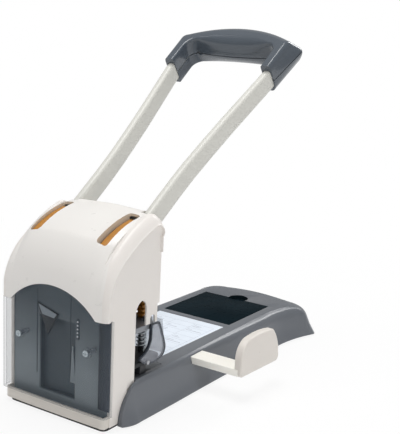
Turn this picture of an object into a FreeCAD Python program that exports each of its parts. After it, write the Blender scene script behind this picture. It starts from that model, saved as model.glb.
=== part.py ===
import FreeCAD, Part
import math
import os

# A heavy-duty two-hole punch. Millimetres, +Z up, the base running away along +Y.
# The origin lies on the surface that the punch stands on, midway below the two punches.
# The punches are at y = 0, the paper stop and the head behind it lie at negative y.

V = FreeCAD.Vector
COS45 = math.cos(math.radians(45))

# Holes, paper and throat
hole_pitch = 80.0
hole_diameter = 6.0
paper_margin = 12.0
table_top = 37.0
throat_height = 9.0
punch_stroke = 15.5
punch_rest_lift = 3.5
fit_gap = 0.3
running_gap = 0.05

# Feet, mat and floor plate
mat_thickness = 3.5
floor_thickness = 2.0
mat_far = 22.0
foot_diameter = 16.0
foot_y = 252.0
foot_x = 48.0

# Base shell, its sections from the floor to the table
base_wall = 2.5
base_bottom = 1.5
base_front = -62.0
base_far = 297.0
taper_start = 15.0
flare_start = 205.0

# Head
head_half = 60.0
panel_wall = 3.0
cover_front = -80.5
front_corner_y = -80.0
front_side_y = -75.3
front_return_y = -69.2
cheek_rear = -2.0
cheek_relief = 0.9
hood_wall = 2.6
hood_rear = 12.0
arm_exit = -5.0
hood_crown = 186.5
arch_corner_z = 102.4
arch_crown_z = 124.8
cover_bottom = 14.5
cover_wall = 2.0
sill_inset = 3.3
screw_recess = 1.4
slot_inner = 33.0
slot_outer = 45.0
slot_front = -61.5
slot_back = -13.0

# Side window in each cheek
window_front = -34.0
window_back = -18.5
window_crown = 110.0
strip_bottom = 85.0
notch_front = -12.5
notch_back = -5.0
notch_crown = 93.0

# Pivot, gear and rack
pivot_y = -32.0
pivot_drop = 37.5
shaft_diameter = 10.0
gear_module = 1.35
gear_teeth = 42
gear_width = 8.0
gear_hub = 9.0
tooth_backlash = 0.25
toothed_from = -20.0
toothed_to = 50.0
sector_end = 182.0
rim_depth = 3.4
rack_back = 4.3
rack_above_pivot = 19.0

# Pressure bar, guide block and springs
bar_top = 84.0
bar_thickness = 5.0
bar_front = -31.0
bar_rear = 5.0
bar_end_rear = -1.0
clamp_offset = 6.9
block_thickness = 5.0
block_front = -33.0
block_rear = 8.0
spring_diameter = 10.0
spring_wire = 1.4
spring_turns = 5.5

# Steel frame plates
frame_inner = 27.0
frame_wall = 3.0
frame_front = -60.0
frame_above_pivot = 14.0
jaw_rear = 14.0
jaw_bottom = 23.0
foot_flange = 18.0
guide_plate = 3.0

# Handle
handle_rise = 36.0
arm_width = 8.5
arm_depth = 21.0
arm_start = 42.0
arm_end = 303.0
arm_plate = 2.6
arm_round = 3.4
hub_half = 8.0
grip_start = 258.0
grip_seam = -1.5
grip_low = -15.0
grip_core_half = 62.0
grip_screw_along = 309.0
core_diameter = 9.0
core_along = 298.0

# Table fittings
card_half = 42.0
card_near = 22.0
card_far = 143.0
card_thickness = 0.6
lid_half = 43.0
lid_near = 152.6
lid_far = 238.0
lid_thickness = 2.6
lid_pin_diameter = 2.0
lid_pin_inset = 3.0
tray_wall = 1.6
thumb_radius = 11.5
thumb_offset = 4.0

# Side guide for the paper
rail_near = 54.0
rail_far = 76.0
rail_height = 7.2
rail_inner_end = -12.0
paddle_inner = 111.0
paddle_thickness = 8.0
paddle_near = 54.0
paddle_far = 127.0
paddle_bottom = 24.0
paddle_top = 62.0
guide_travel = 40.0

# Chip drawer
drawer_half = 16.0
drawer_bottom = 5.8
drawer_top = 22.0
drawer_end = 48.0
drawer_wall = 1.6

# Values that follow from the ones above
punch_x = hole_pitch / 2
front_half = head_half + 2.5
front_edge = head_half - 3.0
hood_half = head_half - 10.0
arch_half = hood_half
bar_half = head_half - 3.5
block_half = head_half - 2.8
pivot_z = hood_crown - pivot_drop
brow_z = hood_crown - 68.5
head_low = arch_corner_z - 42.0
rack_top = pivot_z + rack_above_pivot
frame_top = pivot_z + frame_above_pivot
guide_bottom = table_top + throat_height
block_top = guide_bottom + block_thickness
bar_bottom = bar_top - bar_thickness
punch_tip = guide_bottom + punch_rest_lift
floor_top = mat_thickness + floor_thickness
pitch_radius = gear_module * gear_teeth / 2
outer_radius = pitch_radius + gear_module
root_radius = pitch_radius - 1.25 * gear_module
rack_line = pivot_y + pitch_radius
frame_rear = rack_back + fit_gap
deck_bottom = table_top - base_wall
rise_cos = math.cos(math.radians(handle_rise))
rise_sin = math.sin(math.radians(handle_rise))
rail_top = deck_bottom - fit_gap
rail_bottom = rail_top - rail_height
die_half = 54.0
lid_pin_y = lid_near + lid_pin_inset
lid_pin_z = table_top - lid_thickness / 2 - 0.2
boss_x = head_half - 11.0
boss_places = [(boss_x, 92.0), (-boss_x, 92.0), (boss_x, 236.0), (-boss_x, 236.0)]
lid_bottom = table_top - lid_thickness
jaw_top = table_top - 4.0
die_front = window_front + 0.8
die_screw_y = -26.0
frame_middle = frame_inner + frame_wall / 2
plate_inner = punch_x + gear_width / 2 + fit_gap
plate_outer = plate_inner + arm_plate
bush_diameter = shaft_diameter + 3.0
shaft_half = plate_outer + 2.1
clip_x = plate_outer + 1.0
tie_places = [(-50.0, 60.0), (-50.0, frame_top - 35.0), (-48.0, 20.0)]
block_screw_places = [(-45.0, guide_bottom + block_thickness / 2)]
frame_feet = [(38.0, -52.0), (38.0, -28.0), (-38.0, -52.0), (-38.0, -28.0)]
cover_screw_x = (-40.0, 40.0)
cover_screw_z = 71.0
panel_y = -68.0
cover_seat_y = cover_front + screw_recess
cover_boss_end = cover_seat_y + 2.0
pocket_left = -25.0
pocket_right = 18.0
pocket_bottom = 18.0
pocket_top = 90.0
rib_x = (-31.0, 9.0)
guard_screw_y = -15.0
guard_screw_z = guide_bottom + block_thickness / 2

# The base, from its underside to the table. Each level: z; half the front's width; half the width
# beside the head, at the waist and at the far corners; the corners' y; the far edge's y on the middle
# line; the corners' radius.
base_levels = [
    (base_bottom, head_half + 2.5, head_half + 11.0, 70.5, 83.0, base_far - 7.0, base_far, 10.0),
    (14.0, head_half + 2.0, head_half + 6.5, 66.0, 79.0, base_far - 12.0, base_far - 5.0, 12.0),
    (table_top - 9.0, head_half + 1.7, head_half + 3.5, 62.5, 74.5, base_far - 16.0, base_far - 10.0, 14.0),
    (table_top - 3.0, head_half + 1.5, head_half + 2.0, 59.0, 66.0, base_far - 19.0, base_far - 13.0, 16.0),
    (table_top, head_half + 0.5, head_half - 0.5, 52.5, 56.0, base_far - 25.0, base_far - 18.5, 18.0),
]
skirt_half = base_levels[0][2]
skirt_inner_half = base_levels[-1][2] - 6.0

# The grip, from its underside to its top. Each level: the height across the arms; inside the rim's x,
# the knee, the shoulder and the crown; then the same four outside. Points are (x, along the arms).
grip_levels = [
    (grip_low, 55.0, (55.8, 284.0), (44.0, 295.7), 299.2, 62.5, (66.5, 305.0), (60.0, 311.0), 317.5),
    (-10.0, 54.8, (56.3, 285.5), (45.5, 294.5), 294.0, 65.8, (71.5, 306.0), (64.5, 313.5), 324.0),
    (grip_seam, 55.0, (56.7, 286.0), (46.0, 293.6), 290.8, 66.2, (74.6, 306.6), (68.2, 314.0), 327.0),
    (10.0, 54.6, (55.6, 285.0), (44.5, 294.6), 295.4, 66.2, (69.0, 301.0), (64.0, 308.0), 323.5),
    (14.5, 54.7, (55.3, 284.4), (43.6, 295.8), 299.6, 65.6, (67.2, 298.4), (61.8, 305.2), 320.6),
    (17.0, 55.4, (55.7, 284.2), (43.4, 297.0), 305.6, 64.3, (64.8, 295.5), (59.0, 302.0), 315.4),
]

PLANES = {
    "yz": (V(0, 1, 0), V(0, 0, 1), V(1, 0, 0)),
    "xz": (V(1, 0, 0), V(0, 0, 1), V(0, 1, 0)),
    "xy": (V(1, 0, 0), V(0, 1, 0), V(0, 0, 1)),
}


def placed_outline(steps, place):
    """A closed wire. A step is a corner, or an arc: (a point passed, the point reached)."""
    edges = []
    here = place(steps[0])
    for step in list(steps[1:]) + [steps[0]]:
        arc = isinstance(step[0], tuple)
        end = place(step[1] if arc else step)
        if (end - here).Length < 1e-6:
            continue
        edges.append(Part.Arc(here, place(step[0]), end).toShape() if arc else Part.makeLine(here, end))
        here = end
    return Part.Wire(edges)


def outline(plane, steps, height=0.0):
    """A closed wire on one of the three main planes."""
    across, up, normal = PLANES[plane]
    return placed_outline(steps, lambda point: across * point[0] + up * point[1] + normal * height)


def prism(plane, steps, low, high):
    """A solid with the outline's section, from low to high along the plane's normal."""
    face = Part.Face(outline(plane, steps, low))
    return face.extrude(PLANES[plane][2] * (high - low))


def softened(corners, radius):
    """The steps of a polygon with each corner rounded to one radius, or to a radius each."""
    radii = radius if isinstance(radius, list) else [radius] * len(corners)
    steps = []
    for i, (px, py) in enumerate(corners):
        ways = []
        for qx, qy in (corners[i - 1], corners[(i + 1) % len(corners)]):
            length = math.hypot(qx - px, qy - py)
            ways.append(((qx - px) / length, (qy - py) / length))
        (ax, ay), (bx, by) = ways
        half = math.acos(max(-1.0, min(1.0, ax * bx + ay * by))) / 2
        reach = radii[i] / math.tan(half)
        depth = radii[i] / math.sin(half) - radii[i]
        middle = math.hypot(ax + bx, ay + by)
        steps.append((px + ax * reach, py + ay * reach))
        steps.append(((px + (ax + bx) / middle * depth, py + (ay + by) / middle * depth),
                      (px + bx * reach, py + by * reach)))
    return steps


def rounded(a0, a1, b0, b1, radius):
    """The steps of a rectangle with round corners."""
    return softened([(a0, b0), (a1, b0), (a1, b1), (a0, b1)], radius)


def box(x0, x1, y0, y1, z0, z1):
    return Part.makeBox(x1 - x0, y1 - y0, z1 - z0, V(x0, y0, z0))


def cylinder(centre, direction, radius, length):
    return Part.makeCylinder(radius, length, V(*centre), V(*direction))


def rod_x(x0, x1, y, z, diameter):
    return cylinder((x0, y, z), (1, 0, 0), diameter / 2, x1 - x0)


def rod_z(x, y, z0, z1, diameter):
    return cylinder((x, y, z0), (0, 0, 1), diameter / 2, z1 - z0)


def mirrored(shape):
    return shape.mirror(V(0, 0, 0), V(1, 0, 0))


def both_sides(shape):
    return [shape, mirrored(shape)]


def fused(shapes):
    return shapes[0].multiFuse(shapes[1:]).removeSplitter()


def without(shape, *tools):
    return shape.cut(list(tools)).removeSplitter()


def save(name, *shapes):
    """Writes the node's solids to one file."""
    solids = [solid for shape in shapes for solid in shape.Solids]
    whole = solids[0] if len(solids) == 1 else Part.makeCompound(solids)
    whole.exportStep("parts/" + name + ".step")


def save_pair(name, right):
    save(name + "_right", right)
    save(name + "_left", mirrored(right))


def round_edges(shape, radius, wanted):
    edges = [edge for edge in shape.Edges if wanted(edge)]
    return shape.makeFillet(radius, edges) if edges else shape


def on_arm(x, along, across):
    """A point of the handle: along the arms from the pivot, and across them in the arms' plane."""
    y = pivot_y + rise_cos * along - rise_sin * across
    z = pivot_z + rise_sin * along + rise_cos * across
    return V(x, y, z)


def gear_rim(radius, degrees):
    angle = math.radians(degrees)
    return (pivot_y + radius * math.cos(angle), pivot_z + radius * math.sin(angle))


def screw_z(x, y, z_head, length, diameter, head_diameter, head_height):
    """A screw with its head on top of z_head and its shank below it."""
    shank = rod_z(x, y, z_head - length, z_head, diameter)
    head = rod_z(x, y, z_head, z_head + head_height, head_diameter)
    socket = rod_z(x, y, z_head + head_height * 0.4, z_head + head_height, head_diameter * 0.45)
    return without(fused([shank, head]), socket)


def base_plan(level, z, inset=0.0):
    """The base's outline at one height, drawn in by inset on every side."""
    front_x, half, waist, flare, corner_y, far, radius = [value - inset for value in level[1:]]
    front = base_front + inset
    k = radius * (1 - COS45)
    taper = ((half + waist) / 2 - 0.6, (taper_start + flare_start) / 2)
    flaring = (waist + (flare - waist) * 0.2, flare_start + (corner_y - radius - flare_start) * 0.55)
    right = [
        (front_x, front),
        ((half - 0.25 * (half - front_x), front + 9.0), (half, base_front + 24.0)),
        (half, taper_start),
        (taper, (waist, flare_start)),
        (flaring, (flare, corner_y - radius)),
        ((flare - k, corner_y - k), (flare - radius, corner_y)),
    ]
    left = [
        ((0.0, far), (radius - flare, corner_y)),
        ((k - flare, corner_y - k), (-flare, corner_y - radius)),
        ((-flaring[0], flaring[1]), (-waist, flare_start)),
        ((-taper[0], taper[1]), (-half, taper_start)),
        (-half, base_front + 24.0),
        ((-(half - 0.25 * (half - front_x)), front + 9.0), (-front_x, front)),
    ]
    return outline("xy", right + left, z)


def base_form(inset):
    """The base as a closed body: splayed skirt, waist, flared far corners, rolled edge, flat top."""
    sections = []
    for level in base_levels:
        lowered = 2.0 if level is base_levels[0] else inset * level[0] / table_top
        sections.append(base_plan(level, level[0] - (lowered if inset else 0.0), inset))
    body = Part.makeLoft(sections, True, True)
    side = [
        (base_front + 3.2, base_bottom - 3.0),
        (base_front + 3.6, base_bottom),
        ((base_front + 10.5, 23.5), (-35.0 + inset, table_top)),
        (-35.0 + inset, table_top + 5.0),
        (base_far + 5.0, table_top + 5.0),
        (base_far + 5.0, base_bottom - 3.0),
    ]
    return body.common(prism("yz", side, -90.0, 90.0))


def base_shell():
    solid_corners = box(-skirt_half, skirt_half, base_front, window_front, base_bottom - 5.0, table_top + 5.0)
    hollow = base_form(base_wall).cut(solid_corners)
    shell = base_form(0.0).cut(hollow)
    head_room = box(-head_half - fit_gap, head_half + fit_gap, base_front - 5.0, window_front + 1.0,
                    base_bottom - 5.0, table_top + 5.0)
    die_room = box(-die_half - fit_gap, die_half + fit_gap, base_front, jaw_rear + fit_gap,
                   deck_bottom - 5.0, table_top + 1.0)
    card_recess = box(-card_half - fit_gap, card_half + fit_gap, card_near - fit_gap,
                      card_far + fit_gap, table_top - card_thickness, table_top + 1.0)
    lid_room = box(-lid_half - fit_gap, lid_half + fit_gap, lid_near - fit_gap, lid_far + fit_gap,
                   deck_bottom - 5.0, table_top + 1.0)
    thumb = rod_z(0.0, lid_far + thumb_offset, table_top - 1.6, table_top + 1.0, 2 * thumb_radius)
    rail_slot = box(skirt_inner_half - 2.0, skirt_half + 5.0, rail_near - fit_gap,
                    rail_far + fit_gap, rail_bottom - fit_gap, deck_bottom + 0.01)
    drawer_slot = box(-skirt_half - 5.0, -skirt_inner_half + 2.0, -drawer_half - fit_gap,
                      drawer_half + fit_gap, drawer_bottom - fit_gap, drawer_top + fit_gap)
    shell = without(shell, head_room, die_room, card_recess, lid_room, thumb, rail_slot, drawer_slot)
    bosses = [rod_z(x, y, floor_top, deck_bottom + 0.5, 9.0) for x, y in boss_places]
    ledges = []
    for side in (-1, 1):
        for inward, y0 in ((-fit_gap, lid_near), (3.0, lid_pin_y + 3.0)):
            x0, x1 = sorted((side * (lid_half - inward), side * (lid_half + 4.0)))
            ledges.append(box(x0, x1, y0, lid_far, deck_bottom - 4.0, lid_bottom))
    rail_bed = box(-skirt_inner_half, skirt_inner_half, rail_near - 3.0, rail_near - fit_gap,
                   rail_bottom - 3.0, deck_bottom + 0.5)
    rail_side = box(-skirt_inner_half, skirt_inner_half, rail_far + fit_gap, rail_far + 3.0,
                    rail_bottom - 3.0, deck_bottom + 0.5)
    for side in (-1, 1):
        x0, x1 = sorted((side * (lid_half + fit_gap), side * (lid_half + 4.0)))
        ledges.append(box(x0, x1, lid_near, lid_far, lid_bottom - 0.5, deck_bottom + 0.5))
    rail_floor = box(-skirt_inner_half, skirt_inner_half, rail_near - 3.0, rail_far + 3.0,
                     rail_bottom - 3.0, rail_bottom - fit_gap)
    shell = fused([shell] + bosses + ledges + [rail_bed, rail_side, rail_floor])
    pilots = [rod_z(x, y, floor_top - 1.0, floor_top + 14.0, 3.0) for x, y in boss_places]
    pin_bore = rod_x(-lid_half - 4.0, lid_half + 4.0, lid_pin_y, lid_pin_z, lid_pin_diameter + 2 * running_gap)
    return without(shell, pin_bore, *pilots)


def floor_plate():
    half = head_half - 3.0
    plate = prism("xy", rounded(-half, half, base_front - 10.0, foot_y + 14.0, 8.0), mat_thickness, floor_top)
    holes = [rod_z(x, y, 0.0, floor_top + 1.0, 3.6) for x, y in boss_places + frame_feet]
    return without(plate, *holes)


def rubber_mat():
    half = head_half - 2.5
    mat = prism("xy", rounded(-half, half, base_front - 11.5, mat_far, 5.0), 0.0, mat_thickness)
    holes = [rod_z(x, y, -1.0, mat_thickness + 1.0, 9.0) for x, y in frame_feet]
    return without(mat, *holes)


def rubber_feet():
    feet = []
    for side in (-1, 1):
        foot = rod_z(side * foot_x, foot_y, 0.0, mat_thickness, foot_diameter)
        feet.append(round_edges(foot, 0.8, lambda e: e.BoundBox.ZMax < 0.1))
    return feet


def base_screws():
    screws = []
    for x, y in boss_places:
        shank = rod_z(x, y, mat_thickness, floor_top + 13.0, 2.9)
        head = rod_z(x, y, mat_thickness - 2.0, mat_thickness, 6.0)
        cross = box(x - 2.0, x + 2.0, y - 0.4, y + 0.4, mat_thickness - 2.5, mat_thickness - 1.2)
        screws.append(without(fused([shank, head]), cross, cross.rotated(V(x, y, 0), V(0, 0, 1), 90)))
    return screws


def die_plate():
    plate = box(-die_half, die_half, die_front, jaw_rear, jaw_top, table_top)
    plate = round_edges(plate, 2.0, lambda e: e.BoundBox.ZLength > 1 and e.BoundBox.YMin > 0)
    bores = []
    for side in (-1, 1):
        x = side * punch_x
        bores.append(rod_z(x, 0.0, jaw_top - 1.0, table_top + 1.0, hole_diameter + 0.2))
        bores.append(rod_z(x, 0.0, jaw_top - 1.0, table_top - 2.0, hole_diameter + 2.0))
        bores.append(rod_z(side * frame_middle, die_screw_y, jaw_top - 1.0, table_top + 1.0, 6.0))
    return without(plate, *bores)


def paper_stop():
    return box(-block_half + 2.0, block_half - 2.0, -paper_margin - 9.0, -paper_margin, table_top, guide_bottom)


def guide_block():
    block = box(-block_half, block_half, block_front, block_rear, guide_bottom, block_top)
    block = round_edges(block, 6.0, lambda e: e.BoundBox.ZLength > 1 and e.BoundBox.YMin > 0)
    block = round_edges(block, 1.2, lambda e: e.BoundBox.XLength > 50 and e.BoundBox.YMin > 0)
    tongue = box(-frame_inner + fit_gap, frame_inner - fit_gap, -50.0, block_front, guide_bottom, block_top)
    bores = []
    for side in (-1, 1):
        bores.append(rod_z(side * punch_x, 0.0, guide_bottom - 1, block_top + 1, hole_diameter + 2 * running_gap))
        x0, x1 = sorted((side * (frame_inner - 2.0), side * (frame_inner + 1.0)))
        bores += [rod_x(x0, x1, y, z, 3.0) for y, z in block_screw_places]
        x0, x1 = sorted((side * (block_half - 6.0), side * (block_half + 1.0)))
        bores.append(rod_x(x0, x1, guard_screw_y, guard_screw_z, 2.5))
    return without(fused([block, tongue]), *bores)


def arc_between(start, corner, end):
    """The arc that leaves start and reaches end along the two sides of a corner."""
    middle = (start + end) * 0.5
    half_chord = (end - start).Length / 2
    sagitta = half_chord * math.tan(math.atan2((corner - middle).Length, half_chord) / 2)
    bulge = corner - middle
    bulge.normalize()
    return Part.Arc(start, middle + bulge * sagitta, end).toShape()


def biarc(start, start_way, end, end_way):
    """Two arcs that join two points and leave each along its own direction."""
    span = end - start
    both = start_way + end_way
    turn = 2 * (1 - start_way.dot(end_way))
    reach = (math.sqrt(span.dot(both) ** 2 + turn * span.dot(span)) - span.dot(both)) / turn
    first = start + start_way * reach
    second = end - end_way * reach
    joint = (first + second) * 0.5
    return [arc_between(start, first, joint), arc_between(joint, second, end)]


def spring_path():
    """The centre line of the wire: a straight end, a bend, the turns, a bend, a straight end."""
    radius = (spring_diameter - spring_wire) / 2
    quarters = int(4 * spring_turns)
    straight = spring_wire
    bend = 1.5 * spring_wire
    free = bar_bottom - block_top - 2 * straight
    slope = math.atan2((free - 2 * bend) / spring_turns, 2 * math.pi * radius)
    side = bend * (1 - math.sin(slope))
    first_z = block_top + straight + bend * math.cos(slope)
    pitch = (free - 2 * bend * math.cos(slope)) / spring_turns

    def point(quarter):
        angle = quarter * math.pi / 2
        return V(punch_x + radius * math.cos(angle), radius * math.sin(angle), first_z + pitch * quarter / 4)

    def way(quarter):
        angle = quarter * math.pi / 2
        return V(-math.sin(angle) * math.cos(slope), math.cos(angle) * math.cos(slope), math.sin(slope))

    def flat(quarter):
        angle = quarter * math.pi / 2
        return V(-math.sin(angle), math.cos(angle), 0)

    foot = point(0) - flat(0) * side - V(0, 0, bend * math.cos(slope))
    head = point(quarters) + flat(quarters) * side + V(0, 0, bend * math.cos(slope))
    reach = bend * math.tan((math.pi / 2 - slope) / 2)
    edges = [Part.makeLine(foot - V(0, 0, straight), foot)]
    edges.append(arc_between(foot, foot + V(0, 0, reach), point(0)))
    for quarter in range(quarters):
        edges += biarc(point(quarter), way(quarter), point(quarter + 1), way(quarter + 1))
    edges.append(arc_between(point(quarters), head - V(0, 0, reach), head))
    edges.append(Part.makeLine(head, head + V(0, 0, straight)))
    return edges


def least_gap(edges, wire):
    """The least distance between parts of the tube that lie more than half a turn apart."""
    points = []
    for edge in edges:
        points += edge.discretize(9)[:-1]
    apart = int(0.5 * len(points) / spring_turns)
    near = min((points[i] - points[j]).Length for i in range(len(points)) for j in range(i + apart, len(points)))
    return near - wire


def return_spring():
    """One spring over its punch, wound from one wire."""
    edges = spring_path()
    print("spring: least gap between turns %.2f mm" % least_gap(edges, spring_wire))
    start = edges[0].Vertexes[0].Point
    section = Part.Wire([Part.makeCircle(spring_wire / 2, start, V(0, 0, 1))])
    pipe = Part.BRepOffsetAPI.MakePipeShell(Part.Wire(edges))
    pipe.add(section)
    pipe.build()
    pipe.makeSolid()
    return pipe.shape()


def gear_outline():
    """The toothed sector's outline: involute teeth towards the rack, and a rim that fills the hood's slot."""
    pressure = math.radians(20.0)
    base_radius = pitch_radius * math.cos(pressure)

    def roll(angle):
        return math.tan(angle) - angle

    def half_angle(radius):
        turn = math.acos(min(1.0, base_radius / radius))
        half = math.pi / (2 * gear_teeth) - tooth_backlash / (2 * pitch_radius)
        return math.degrees(half + roll(pressure) - roll(turn))

    radii = [root_radius + 0.25, pitch_radius - 0.5 * gear_module, pitch_radius,
             pitch_radius + 0.5 * gear_module, outer_radius]
    pitch = 360.0 / gear_teeth
    first = math.ceil(toothed_from / pitch)
    last = math.floor(toothed_to / pitch)
    steps = [gear_rim(gear_hub + 4.0, toothed_from - 4.0), gear_rim(root_radius, toothed_from - 4.0)]
    for tooth in range(first, last + 1):
        middle = tooth * pitch
        steps.append(gear_rim(root_radius, middle - half_angle(radii[0]) - 0.3))
        steps += [gear_rim(r, middle - half_angle(r)) for r in radii]
        steps += [gear_rim(r, middle + half_angle(r)) for r in reversed(radii)]
        steps.append(gear_rim(root_radius, middle + half_angle(radii[0]) + 0.3))
    steps.append(gear_rim(root_radius, last * pitch + pitch * 0.75))
    steps.append((slot_back - 3.0, hood_crown - rim_depth - 4.0))
    steps.append((slot_back - 4.5, hood_crown - rim_depth - 3.2))
    steps.append(((slot_back - 22.0, hood_crown - rim_depth - 7.6), (slot_front + 1.5, hood_crown - rim_depth - 19.8)))
    steps.append(gear_rim(gear_hub + 4.0, sector_end))
    return steps


def sector():
    """The right-hand toothed sector, keyed to the arm's plate by two bolts."""
    x0 = punch_x - gear_width / 2
    x1 = punch_x + gear_width / 2
    rim = prism("yz", gear_outline(), x0, x1)
    hub = rod_x(x0, x1, pivot_y, pivot_z, 2 * (gear_hub + 4.5))
    bores = [rod_x(x0 - 1, x1 + 1, pivot_y, pivot_z, shaft_diameter + 2 * running_gap)]
    for point in sector_bolt_places():
        bores.append(rod_x(x0 - 1, x1 + 1, point.y, point.z, 4.0))
    for degrees in (105.0, 150.0):
        y, z = gear_rim(0.72 * outer_radius, degrees)
        bores.append(rod_x(x0 - 1, x1 + 1, y, z, 7.0))
    return without(fused([rim, hub]), *bores)


def sector_bolt_places():
    return [on_arm(0.0, 21.0, offset) for offset in (-4.5, 4.5)]


def sector_bolts():
    bolts = []
    x0 = punch_x - gear_width / 2
    x1 = plate_outer
    for point in sector_bolt_places():
        shank = rod_x(x0 - 0.2, x1 + 0.2, point.y, point.z, 4.0)
        inner = rod_x(x0 - 2.2, x0, point.y, point.z, 7.0)
        outer = rod_x(x1, x1 + 1.4, point.y, point.z, 7.0)
        bolts += both_sides(fused([shank, inner, outer]))
    return bolts


def rack():
    """The right-hand rack, its teeth towards the sector, standing on the pressure bar."""
    flank = math.tan(math.radians(20.0))
    tip = rack_line - gear_module
    root = rack_line + 1.25 * gear_module
    pitch = math.pi * gear_module
    half = pitch / 4 - tooth_backlash / 2
    steps = [(rack_back, bar_top), (rack_back, rack_top), (root, rack_top)]
    count = int((rack_top - bar_top) / pitch) + 2
    top_index = int((rack_top - pivot_z) / pitch) + 1
    for index in range(top_index, top_index - count - 1, -1):
        z = pivot_z + (index + 0.5) * pitch
        if z + pitch / 2 > rack_top or z - pitch / 2 < bar_top:
            continue
        steps.append((root, z + half + flank * 1.25 * gear_module))
        steps.append((tip, z + half - flank * gear_module))
        steps.append((tip, z - half + flank * gear_module))
        steps.append((root, z - half - flank * 1.25 * gear_module))
    steps.append((root, bar_top))
    return prism("yz", steps, punch_x - gear_width / 2, punch_x + gear_width / 2)


def punch():
    """A hardened pin: shank through the bar's bore, a head under the rack, a hollow-ground tip."""
    shank = rod_z(punch_x, 0.0, punch_tip, bar_bottom, hole_diameter)
    neck = rod_z(punch_x, 0.0, bar_bottom, bar_top, hole_diameter - 1.0)
    groove = cylinder((punch_x, -hole_diameter, punch_tip - 1.4), (0, 1, 0), 2.6, 2 * hole_diameter)
    return without(fused([shank, neck]), groove)


def pressure_bar():
    """The plate that carries both racks and both punches."""
    corner = bar_half - 9.0
    steps = [
        (-bar_half + 3.0, bar_front),
        (bar_half - 3.0, bar_front),
        ((bar_half - 0.9, bar_front + 0.9), (bar_half, bar_front + 3.0)),
        (bar_half, bar_end_rear - 4.0),
        ((bar_half - 1.2, bar_end_rear - 1.2), (bar_half - 4.0, bar_end_rear)),
        (corner, bar_rear),
        (-corner, bar_rear),
        (-bar_half + 4.0, bar_end_rear),
        ((-bar_half + 1.2, bar_end_rear - 1.2), (-bar_half, bar_end_rear - 4.0)),
        (-bar_half, bar_front + 3.0),
        ((-bar_half + 0.9, bar_front + 0.9), (-bar_half + 3.0, bar_front)),
    ]
    plate = prism("xy", steps, bar_bottom, bar_top)
    bores = []
    for side in (-1, 1):
        bores.append(rod_z(side * punch_x, 0.0, bar_bottom - 1, bar_top + 1, hole_diameter - 1.0))
        bores.append(rod_z(side * (punch_x + clamp_offset), -4.0, bar_bottom - 1, bar_top + 1, 3.0))
        bores.append(rod_z(side * (punch_x - clamp_offset), -4.0, bar_bottom - 1, bar_top + 1, 3.0))
    return without(plate, *bores)


def rack_clamps():
    """The small brackets that hold each rack's foot to the bar, with their screws."""
    clamps = []
    for side in (-1, 1):
        for away in (-1, 1):
            x = side * punch_x + away * clamp_offset
            inner = side * punch_x + away * gear_width / 2
            x0, x1 = sorted((inner, x + away * 2.6))
            plate = box(x0, x1, -7.0, rack_back - 3.0, bar_top, bar_top + 1.6)
            screw = screw_z(x, -4.0, bar_top + 1.6, 6.4, 3.0, 5.4, 1.8)
            clamps.append(fused([plate, screw]))
    return clamps


def frame_steps():
    return [
        (frame_front, floor_top),
        (frame_front, frame_top - 45.0),
        ((-57.0, frame_top - 23.0), (-46.0, frame_top - 6.0)),
        ((-38.5, frame_top - 1.0), (-30.0, frame_top)),
        (-14.0, frame_top),
        ((-2.0, frame_top - 3.0), (frame_rear, frame_top - 13.0)),
        (frame_rear, bar_top + 2.5),
        (window_front + 0.5, bar_top + 2.5),
        (window_front + 0.5, jaw_top),
        (jaw_rear, jaw_top),
        (jaw_rear, jaw_bottom + 3.0),
        (jaw_rear - 3.0, jaw_bottom),
        (-20.0, jaw_bottom),
        (-20.0, floor_top),
    ]


def frame_plate():
    """The right-hand steel side plate, open like a C around the paper, with its bent foot."""
    x0 = frame_inner
    x1 = frame_inner + frame_wall
    plate = prism("yz", frame_steps(), x0, x1)
    foot = box(x0, x0 + foot_flange, frame_front, -20.0, floor_top, floor_top + frame_wall)
    bores = [rod_x(x0 - 1, x1 + 1, pivot_y, pivot_z, bush_diameter)]
    bores += [rod_x(x0 - 1, x1 + 1, y, z, 6.0) for y, z in tie_places]
    bores += [rod_x(x0 - 1, x1 + 1, y, z, 3.4) for y, z in block_screw_places]
    bores += [rod_z(x, y, floor_top - 1, floor_top + 5, 5.2) for x, y in frame_feet if x > 0]
    return without(fused([plate, foot]), *bores)


def frame_bolts():
    """The four bolts that hold the frame's feet to the floor plate, with their nuts."""
    bolts = []
    for x, y in frame_feet:
        shank = rod_z(x, y, mat_thickness - 2.4, floor_top + frame_wall + 1.0, 3.6)
        head = rod_z(x, y, mat_thickness - 2.4, mat_thickness, 8.4)
        nut_face = Part.makePolygon([
            V(x + 3.6 * math.cos(math.radians(a)), y + 3.6 * math.sin(math.radians(a)), floor_top + frame_wall)
            for a in range(0, 361, 60)])
        nut = Part.Face(nut_face).extrude(V(0, 0, 2.8))
        bolts.append(fused([shank, head, nut]))
    return bolts


def tie_rods():
    """The rods that keep the two frame plates apart: shouldered, with riveted ends."""
    rods = []
    for y, z in tie_places:
        middle = rod_x(-frame_inner, frame_inner, y, z, 9.0)
        neck = rod_x(-frame_inner - frame_wall - 1.5, frame_inner + frame_wall + 1.5, y, z, 6.0)
        rods.append(fused([middle, neck]))
    return rods


def pivot_shaft():
    shaft = rod_x(-shaft_half, shaft_half, pivot_y, pivot_z, shaft_diameter)
    shaft = round_edges(shaft, 0.6, lambda e: e.BoundBox.XLength < 0.01)
    for side in (-1, 1):
        x = side * clip_x
        ring = rod_x(x - 0.6, x + 0.6, pivot_y, pivot_z, shaft_diameter + 2)
        core = rod_x(x - 0.6, x + 0.6, pivot_y, pivot_z, shaft_diameter - 1.6)
        shaft = shaft.cut(ring.cut(core))
    return shaft


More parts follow.
